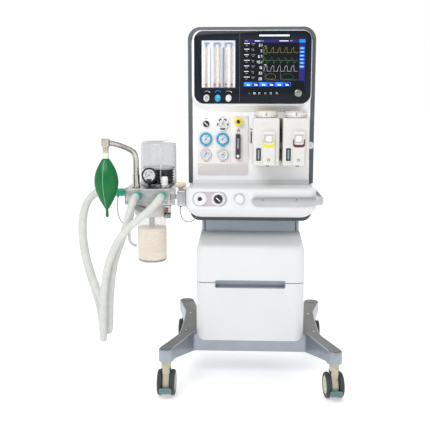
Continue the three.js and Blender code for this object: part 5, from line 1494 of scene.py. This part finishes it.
make_rear_housing()
make_front_housing()
make_bezel()
make_display()
make_flow_tubes()
make_console_knobs()
make_gauge_panel()
make_gauges()
make_vaporizers()


# ------------------------------------------------------------------- breathing circuit
HINGE_SPOT = (-272, -145, 0)
PORT_X = {"left": -406, "right": -317}
DOME_SPOT, DOME_FOOT, BELLOWS_TOP = (-342, -8, 0), 711.4, 762
VALVE_SPOT = (-310, -100, 0)
BAG_SPOT = (-501, -200, 0)
TRAP_SPOT = (-302, -90, 0)


def make_circuit_arm():
    arm = Shape()
    arm.block(-260.8, -229.5, -139.6, -30.2, 640.2, 696.8, 3.5)
    arm.block(-262.6, -255, -139.8, -134, 666, 684, 1)
    arm.pin(4, 666, 684, HINGE_SPOT, "z", 32, edge=0.4)
    arm.block(-272, -256, -139.9, -136.1, 666, 684, 0.8)
    arm.block(-274, -270, -146.5, -136.5, 666, 684, 0.6)
    arm.block(-252, -238, -140.9, -139, 652, 686, 1.2)
    for z in (658, 680):
        add_screw(arm, (-245, -140.7, z), "y", 2.8)
    arm.turned([[0, 634], [4.4, 634], [4.6, 636], [5.2, 640.6], [0, 640.6]], (-252, -110, 0), "z", 24,
               edge=0.3, kind=1)
    arm.block(-258, -246, -116, -104, 637, 641, 1.2, kind=1)
    add("arm_block", arm, "machine", "manifold", ALLOY, BLACK, stands_for=("circuit_arm",))
    star = Shape()
    star.turned([[0, 696.4], [9, 696.4], [9, 700], [7.6, 701], [7.6, 704], [0, 704]], (-254, -85, 0), "z",
                36, edge=0.4)
    rings = []
    for z, size in ((702.5, 0.62), (703.4, 0.80), (705, 0.92), (708, 0.98), (715, 1.0), (718.6, 0.95),
                    (720.8, 0.84), (721.8, 0.66), (722, 0.4)):
        ring = []
        for i in range(90):
            t = 2 * math.pi * i / 90
            r = (19.0 + 3.0 * math.cos(5 * t)) * size
            ring.append((-254 + r * math.cos(t), -85 + r * math.sin(t), z))
        rings.append(ring)
    star.skin(rings)
    add("arm_star_knob", star, "machine", "manifold", IVORY)


def make_block():
    body = Shape()
    body.slab(rounded(-446.8, -284.2, -149.8, 61.8, 4, 5), 646.2, 703.8, "z", 1.6)
    piece = add("manifold_block", body, "absorber", "manifold", ALLOY, stands_for=("absorber_block",))
    bore = [Shape().pin(11.4, -7, 8, (x, -143, 678), "y", 40)
            for x in PORT_X.values()]
    groove = [Shape().block(-460, -280, -156, -149.1, z, z + 0.8, 0.02) for z in (660, 696)]
    carve(piece, *bore, *groove, bevel=0.4)
    seat = Shape()
    seat.turned([[0, 703.4], [62.8, 703.4], [62.8, 709.6], [61.4, 711], [0, 711]], DOME_SPOT, "z", 72,
                edge=0.4)
    for z0, z1 in ((646.2, 663.8), (686.2, 703.8)):
        seat.pin(4, z0, z1, HINGE_SPOT, "z", 28, edge=0.4)
        seat.block(-290, -273, -148.9, -142.1, z0, z1, 0.9)
    seat.block(-296, -284.6, -151.4, -149.4, 649, 701, 0.9)
    for x in (-438, -362, -300):
        add_screw(seat, (x, -149.9, 653), "y", 2.7, 1)
    for x in (-440, -292):
        for y in (-140, 52):
            seat.turned([[0, 703.4], [5.6, 703.4], [5.2, 705.4], [3.8, 707], [2, 707.9], [0, 708.2]],
                        (x, y, 0), "z", 28, edge=0.3, kind=1)
    # A dark strip down the block's left end: painted shade, that end darker only because of how the light
    # falls.
    seat.block(-447.2, -443.6, -148, 60, 649, 701, 0.9, kind=2)
    seat.pin(17, -447.4, -445, (0, -90, 684), "x", 40, edge=0.5,
                kind=1)
    add("manifold_details", seat, "absorber", "manifold", ALLOY, TIN, DARK)
    for side, x in PORT_X.items():
        port = Shape()
        port.turned([[0, 141], [11.0, 141], [11.0, 150.4], [15.4, 150.6], [15.8, 152], [15.8, 156],
                     [14.2, 157.4], [12.4, 158.4], [12.0, 163], [11.2, 168.2], [0, 168.2]],
                    (x, 0, 678), "y", 48, edge=0.4)
        add("hose_port_" + side, port, "absorber", "teal_plastic", TEAL)


def make_dome():
    outer = [(63.8, 704.5), (66.4, 704.5), (66.4, 708), (65.9, 709.4), (65.9, 849)]
    outer += [(r, z) for r, z in arc(48.9, 849, 17, 0, 84, 14)] + [(24, 866.9), (0, 867.4)]
    inner = [(r, z) for r, z in reversed(arc(48.9, 849, 14.6, 0, 84, 12))]
    shell = Shape().turned([[0, 864.8], [24, 864.4], *inner, [63.5, 847], [63.5, 706], *outer], DOME_SPOT,
                           "z", 96)
    add("dome_wall", shell, "absorber", "clear_plastic", CLEAR, stands_for=("bellows_dome",), sharp=50)
    marks = Shape()
    for k in range(11):
        wide = 7.5 if k % 5 == 0 else 4.5
        tick = Shape().block(-wide / 2, wide / 2, -66.35, -65.7, 772 + 7 * k, 772.9 + 7 * k, 0.1)
        marks.join(tick, spin(DOME_SPOT, "Z", math.radians(-9)))
    # A milky strip down the dome's wall: a painted highlight in place of its vertical reflection.
    rib = Shape().block(-1.8, 1.8, -66.5, -65.8, 716, 838, 0.3, kind=1)
    marks.join(rib, spin(DOME_SPOT, "Z", math.radians(13)))
    add("dome_marks_and_painted_highlight", marks, "absorber", "clear_plastic", PAPER, DOME_PAINTED_HIGHLIGHT)
    foot = Shape().turned([[63.0, 703.9], [68, 703.9], [68.6, 705], [68.6, 709.6], [67.4, 711],
                           [66.4, 711.2], [66.45, 704.2], [63.0, 704.2]], DOME_SPOT, "z", 96)
    add("dome_foot_ring", foot, "absorber", "clear_plastic", ALLOY)
    disk = Shape().turned([[0, 762.4], [56.5, 762.4], [58.6, 763.6], [59, 765], [59, 768], [57.6, 769.6],
                           [55, 770], [42, 769.6], [40, 768.4], [14, 768.4], [12, 769.8], [0, 770]],
                          DOME_SPOT, "z", 72, edge=0.4)
    add("bellows_cap", disk, "bellows_top", "clear_plastic", PAINTED_LIGHT_WHITE, stands_for=("bellows_disk",))
    make_bellows()


def make_bellows():
    """Five pleats between the block and the top disk."""
    profile = [[0, DOME_FOOT], [48, DOME_FOOT]]
    for k in range(5):
        low = DOME_FOOT + 10.1 * k
        profile += [[48.6, low], [51.5, low + 1.2], [55.4, low + 3.9], [56, low + 5.05], [55.4, low + 6.2],
                    [51.5, low + 8.9], [48.6, low + 10.1]]
    profile += [[47, BELLOWS_TOP], [0, BELLOWS_TOP]]
    mesh = Shape().turned(profile, DOME_SPOT, "z", 64).mesh("bellows_folds", RUBBER, sharp=60)
    folds = show("bellows_folds", mesh)
    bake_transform(folds)
    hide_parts("bellows")


def make_airway_gauge():
    """Made face up round its own axis, then stood up and leaned back on its stem."""
    can, glass = Shape(), Shape()
    can.turned([[0, 0], [20, 0], [25, 1.4], [27.4, 4.6], [28, 8], [28, 20], [27.6, 24], [26.4, 27],
                [24.4, 28.4], [22.6, 27.8], [21.4, 24.6], [0, 24.6]], (0, 0, 0), "z", 64, edge=0.5)
    for middle, wide, kind in ((60, 50, 3), (160, 60, 4)):
        a, b = middle - wide / 2, middle + wide / 2
        band = arc(0, 0, 14, a, b, 14) + arc(0, 0, 11.4, b, a, 14)
        can.slab(band, 24.8, 25.15, "z", 0.02, kind)
    can.pin(21.2, 24.2, 25.0, (0, 0, 0), "z", 56, kind=1)
    for k in range(13):
        tick = Shape().block(18.6 - (3 if k % 3 == 0 else 1.6), 18.6, -0.2, 0.2, 24.9, 25.3, 0.02, 2)
        can.join(tick, Matrix.Rotation(math.radians(-60 + 25 * k), 4, "Z"))
    needle = Shape().block(-5, 14.5, -0.42, 0.42, 25.6, 26.0, 0.1, 2)
    can.join(needle, Matrix.Rotation(math.radians(212), 4, "Z"))
    can.turned([[0, 24.8], [1.9, 24.8], [1.8, 26.4], [1.2, 26.8], [0, 26.8]], (0, 0, 0), "z", 20, kind=2)
    glass.turned([[0, 27.0], [21.6, 27.0], [21.6, 27.5], [10, 27.9], [0, 28.0]], (0, 0, 0), "z", 56)
    put = spin((-364, -88, 746), "X", math.radians(84))
    can.moved(put)
    glass.moved(put)
    can.turned([[0, 704.4], [6.4, 704.4], [6.4, 707], [5.2, 708], [5.6, 711], [9, 716], [14.5, 724.5],
                [17.5, 731], [17.5, 735], [0, 735]], (-364, -100, 0), "z", 36, edge=0.4)
    add("airway_gauge_case", can, "absorber", "gauge_black", BLACK, PAPER, INK, RED, GREY_INK,
        stands_for=("airway_gauge",))
    add("airway_gauge_glass", glass, "absorber", "gauge_black", TUBE_GLASS)


def make_limit_valve():
    valve = Shape()
    valve.turned([[0, 704.5], [18.6, 704.5], [19.6, 705.5], [19.8, 708.6], [18.4, 710.8], [15.4, 712],
                  [12.4, 712.8], [0, 712.8]], VALVE_SPOT, "z", 48, edge=0.4, kind=1)
    valve.grooved([(712, 11.6), (713.4, 12.5), (736, 12.3), (739.6, 11.6), (741.8, 10.4), (743, 8.4)],
                  VALVE_SPOT, "z", 96, (8, 3, 713, 738), 0.6)
    for z in (722, 728):
        valve.turned([[12.1, z], [12.65, z + 0.5], [12.1, z + 1]], VALVE_SPOT, "z", 48, kind=2)
    add("limit_valve_cap", valve, "limit_valve", "white_knob", PAINTED_LIGHT_WHITE, CHROME, GREY_INK,
        stands_for=("pressure_limit_valve",))


def make_bag_arm():
    x, y = -413, -100
    arm = Shape()
    arm.turned([[0, 704.5], [15, 704.5], [15, 708], [13, 709], [13, 748], [12.2, 751], [10.6, 752.4],
                [0, 752.4]], (x, y, 0), "z", 48, edge=0.4)
    arm.turned([[12.9, 716], [13.6, 717], [13.6, 720], [12.9, 721]], (x, y, 0), "z", 48)
    path = smooth_path([
        (x, y, 746), (x, y, 770), (x, y, 790), (x - 1, y - 1, 812), (x - 8, y - 10, 832),
        (x - 28, y - 33, 848), (x - 55, y - 66, 862), (x - 74, y - 87, 868), (*BAG_SPOT[:2], 869),
    ], 3)
    arm.rod(path, 11, 40)
    arm.turned([[0, 853], [10.5, 853], [13.4, 854.2], [15.3, 857.4], [15.4, 880], [14.9, 882.6],
                [13.2, 884], [0, 884]], BAG_SPOT, "z", 56, edge=0.5)
    arm.pin(10.4, 834, 855, BAG_SPOT, "z", 48, edge=0.3)
    arm.turned([[10.2, 846], [11.4, 847], [11.4, 850], [10.2, 851]], BAG_SPOT, "z", 48)
    add("bag_arm_tube", arm, "bag", "chrome", CHROME, stands_for=("bag_arm",))


BAG_ROWS, BAG_FOOT, BAG_HIGH = 64, 640, 181


def bag_swell(t):
    """The bag's fullness at a share of its height, and the radius that goes with it."""
    swell = max(0.0, math.sin(math.pi * min(1, t ** 1.08))) ** 0.85
    return swell, max(4.6, 5.6 + 36.2 * swell)


def make_bag():
    x, y, _ = BAG_SPOT
    bag = Shape()
    sides = 96
    rings = []
    for i in range(BAG_ROWS + 1):
        t = i / BAG_ROWS
        z = BAG_FOOT + BAG_HIGH * t
        swell, radius = bag_swell(t)
        if t > 0.97:
            radius = max(radius, 9.5)
        ring = []
        for k in range(sides):
            turn = 2 * math.pi * k / sides
            ridge = 0.0
            for spot, deep in ((-105, 1.9), (73, 1.9), (-10, 0.6), (170, 0.6)):
                off = (math.degrees(turn) - spot + 180) % 360 - 180
                ridge -= deep * math.exp(-(off / 5) ** 2)
            fold = 0.35 * math.sin(7 * turn + 1.3) * (1 - min(1, abs(t - 0.5) * 2)) ** 0.3
            fold += 0.9 * math.sin(9 * turn) * max(0, (t - 0.86) / 0.14) * (1 - max(0, t - 0.97) / 0.03)
            fold += 0.7 * math.sin(7 * turn) * max(0, (0.14 - t) / 0.14)
            r = radius + (ridge + fold) * swell ** 0.3
            ring.append((x + r * math.cos(turn), y + 0.85 * r * math.sin(turn), z))
        rings.append(ring)
    bag.skin(rings)
    bag.turned([[0, 611.2], [4.2, 611.2], [5, 612.4], [5, 626], [4.6, 640], [5.2, 642], [0, 642]],
               BAG_SPOT, "z", 36, edge=0.4)
    bag.slab(rounded(x - 5.2, x + 5.2, 612, 622, 1.5, 3), y - 2.2, y + 2.2, "y", 0.8)
    add("bag_skin", bag, "bag", "bag_rubber", BAG, stands_for=("breathing_bag",), sharp=60)
    # Raised seams down the bag; their lighter green is a painted highlight on the ridges.
    seam = Shape()
    for turn in (math.radians(-98), math.radians(80)):
        line = []
        for i in range(4, BAG_ROWS - 3):
            t = i / BAG_ROWS
            r = bag_swell(t)[1] + 0.5
            line.append((x + r * math.cos(turn), y + 0.85 * r * math.sin(turn), BAG_FOOT + BAG_HIGH * t))
        seam.rod(line, 1.2, 10)
    add("bag_seams", seam, "bag", "bag_rubber", BAG_SEAM_PAINTED_HIGHLIGHT)
    collar = Shape()
    collar.turned([[9.6, 815], [11.4, 816], [12, 818.5], [12, 820.5], [10.9, 821.8], [10.9, 825.4],
                   [11.9, 826.6], [11.9, 829.6], [10.9, 830.8], [10.9, 833.6], [10.4, 834.6], [9.6, 834.6]],
                  (x, y, 0), "z", 56)
    add("bag_cuff", collar, "bag", "bag_rubber", BAG_COLLAR)


def make_y_piece():
    shape = Shape()
    shape.turned([[0, -492], [13.2, -492], [13.8, -490], [13.8, -472], [15.2, -471], [15.2, -466],
                  [13.8, -465], [13.8, -449], [13.2, -447.6], [0, -447.6]], (0, -90, 684), "x", 48, edge=0.4)
    for end in (-106, -74):
        path = smooth_path([(-484, -90, 684), (-500, -90 + (end + 90) * 0.35, 684),
                            (-518, -90 + (end + 90) * 0.9, 684), (-530, end, 684), (-540, end, 684)], 3)
        shape.rod(path, 12.9, 36)
        shape.turned([[0, -541.2], [13.9, -541.2], [14.3, -540], [14.3, -534], [13.9, -533], [0, -533]],
                     (0, end, 684), "x", 40, edge=0.4)
    shape.turned([[0, 667.5], [3.6, 667.5], [3.9, 670], [3.9, 676], [0, 676]], (-480, -102, 0), "z", 20,
                 edge=0.3)
    add("y_fitting", shape, "absorber", "teal_plastic", TEAL, stands_for=("y_piece",))


# -------------------------------------------------------------------- absorber canister
def make_canister():
    x, y = -363, -60
    head = Shape()
    head.turned([[54.6, 596.2], [58, 596.2], [60.4, 598.6], [61, 602], [61, 612], [60.4, 612.8],
                 [60.4, 614.4], [61, 615.2], [61, 642], [60, 644.8], [58.6, 645.8], [0, 645.8],
                 [0, 598.4], [54.6, 598.4]], (x, y, 0), "z", 96, edge=0.35)
    rib = Shape().block(60.4, 61.35, -1.1, 1.1, 618, 640, 0.4)
    for k in range(60):
        head.join(rib, spin((x, y, 0), "Z", 2 * math.pi * k / 60))
    add("canister_cap", head, "absorber", "canister_head", HEAD, stands_for=("canister_head",))
    lever = Shape()
    wedge = [(-38, 640), (-38, 632), (-22, 618), (-6, 615), (14, 616), (20, 622), (18, 629), (2, 633),
             (-20, 641)]
    lever.join(Shape().slab(soften(wedge, 3, closed=True), -5, 5, "y", 1.6),
               spin((x - 20, y - 62, 0), "Z", math.radians(-14)))
    lever.turned([[0, 57], [5, 57], [5, 69], [4, 70], [0, 70]], (x - 8, y, 622), "y", 24, edge=0.4)
    add("canister_lever", lever, "absorber", "canister_head", GREY_INK)
    make_water_trap()
    make_strap(x, y)
    make_charge(x, y)


def make_water_trap():
    trap, parts = Shape(), Shape()
    cup = [[0, 590.4], [11.5, 590.4], [13.2, 592], [13.8, 595], [13.8, 632], [12.4, 632], [12.2, 596],
           [11, 592.6], [0, 592.2]]
    trap.turned(cup, TRAP_SPOT, "z", 48)
    parts.turned([[0, 631.6], [14, 631.6], [14.2, 634], [14.2, 640], [12, 641.4], [6, 641.8], [6, 645.6],
                  [0, 645.6]], TRAP_SPOT, "z", 40, edge=0.4)
    parts.turned([[0, 588.2], [3, 588.2], [3.4, 590.8], [0, 590.8]], TRAP_SPOT, "z", 24)
    parts.turned([[14.0, 636], [14.7, 636.4], [14.7, 638.2], [14.0, 638.6]], TRAP_SPOT, "z", 40, kind=3)
    parts.block(-306, -298, -105.2, -103.4, 622, 630, 0.6, kind=1)
    parts.turned([[13.7, 606], [14.2, 606.4], [14.2, 608.2], [13.7, 608.6]], TRAP_SPOT, "z", 40, kind=3)
    parts.block(-314, -310, -96, -84, 636, 645.7, 0.8)
    parts.turned([[0, 592.8], [10.4, 592.8], [10.6, 603], [0, 603.2]], TRAP_SPOT, "z", 32, kind=2)
    add("water_trap_cup", trap, "absorber", "clear_plastic", SMOKY)
    add("water_trap_parts", parts, "absorber", "canister_head", PAINTED_LIGHT_WHITE, RED, PALE_BLUE, BLACK)


def make_strap(x, y):
    strap = Shape()
    path = smooth_path([
        (x - 58, y, 622), (-434, y, 618), (-446, y, 604), (-449, y, 570), (-449, y, 520),
        (-446, y, 496), (-434, y, 484), (x - 58, y, 478),
    ], 4)
    strap.sweep(path, lambda gone: rounded(-1.6, 1.6, -6, 6, 1.2, 3))
    strap.block(x - 62.4, x - 57.6, y - 7, y + 7, 613, 628, 1.5)
    add("canister_strap", strap, "absorber", "canister_head", SEAM_GREY)


def make_charge(x, y):
    """The canister's wall, its soda lime with loose granules on top, and its core tube."""
    wall = Shape()
    wall.turned([[0, 424.4], [45, 424.4], [50.6, 426.4], [53.2, 432], [53.6, 436], [53.6, 592], [53.6, 595.4],
                 [55.8, 595.4], [56, 594], [56, 588], [55.5, 587], [55.5, 470], [55.9, 469], [55.9, 464],
                 [55.5, 463], [55.5, 434], [54.4, 428], [51.4, 424], [47, 422.2], [0, 422.2]],
                (x, y, 0), "z", 96)
    add("canister_wall", wall, "canister", "clear_plastic", HAZE, stands_for=("absorber_canister",), sharp=50)
    charge = Shape()
    profile = [[0, 432.4], [44, 432.4], [49.6, 434.4], [52.4, 438], [53.2, 442], [53.3, 548], [52.4, 549.4]]
    charge.turned(profile + [[30, 550.2], [0, 550.4]], (x, y, 0), "z", 96)
    rng = random.Random(11)
    for k in range(360):
        r, t = 51 * math.sqrt(rng.random()), rng.random() * 2 * math.pi
        size = 1.5 + 0.7 * rng.random()
        spot = (x + r * math.cos(t), y + r * math.sin(t), 550.2 + 0.7 * rng.random())
        charge.turned([[0, -size * 0.7], [size * 0.8, -size * 0.4], [size, 0.1], [size * 0.7, size * 0.6],
                       [0, size * 0.75]], spot, "z", 7)
    add("soda_lime_fill", charge, "canister", "lime_charge", SODA_LIME_PAINTED_LIGHT)
    inner = Shape()
    inner.turned([[0, 425.2], [43, 425.2], [49.6, 428], [52, 431.2], [51.2, 431.8], [0, 430.2]], (x, y, 0),
                 "z", 72)
    spoke = Shape().block(12, 48.5, -0.8, 0.8, 426.4, 430.2, 0.2)
    for k in range(24):
        inner.join(spoke, spin((x, y, 0), "Z", 2 * math.pi * k / 24))
    inner.pin(10.5, 549, 594.8, (x, y, 0), "z", 40, edge=0.5, kind=1)
    for z in (560, 574, 588):
        inner.turned([[10.3, z], [11.4, z + 0.8], [11.4, z + 2.2], [10.3, z + 3]], (x, y, 0), "z", 40, kind=1)
    inner.turned([[10.4, 552.2], [53.2, 552.2], [53.2, 553.8], [10.4, 553.8]], (x, y, 0), "z", 72, kind=2)
    add("canister_core", inner, "canister", "clear_plastic", GREY_INK, SEAM_GREY, HAZE)


make_circuit_arm()
make_block()
make_dome()
make_airway_gauge()
make_limit_valve()
make_bag_arm()
make_bag()
make_y_piece()
make_canister()


# ------------------------------------------------------------------------------- floor
def make_floor():
    mesh = bpy.data.meshes.new("floor")
    mesh.from_pydata([(-60, -60, -0.001), (60, -60, -0.001), (60, 60, -0.001), (-60, 60, -0.001)], [],
                     [(0, 1, 2, 3)])
    mesh.materials.append(material(
        "studio_floor", (0.93, 0.93, 0.93), 0.6, mottle=0.0, mottle_size=900,
        Emission_Color=(1, 1, 1, 1), Emission_Strength=0.37, Specular_IOR_Level=0.1,
    ))
    show("floor", mesh)


make_floor()
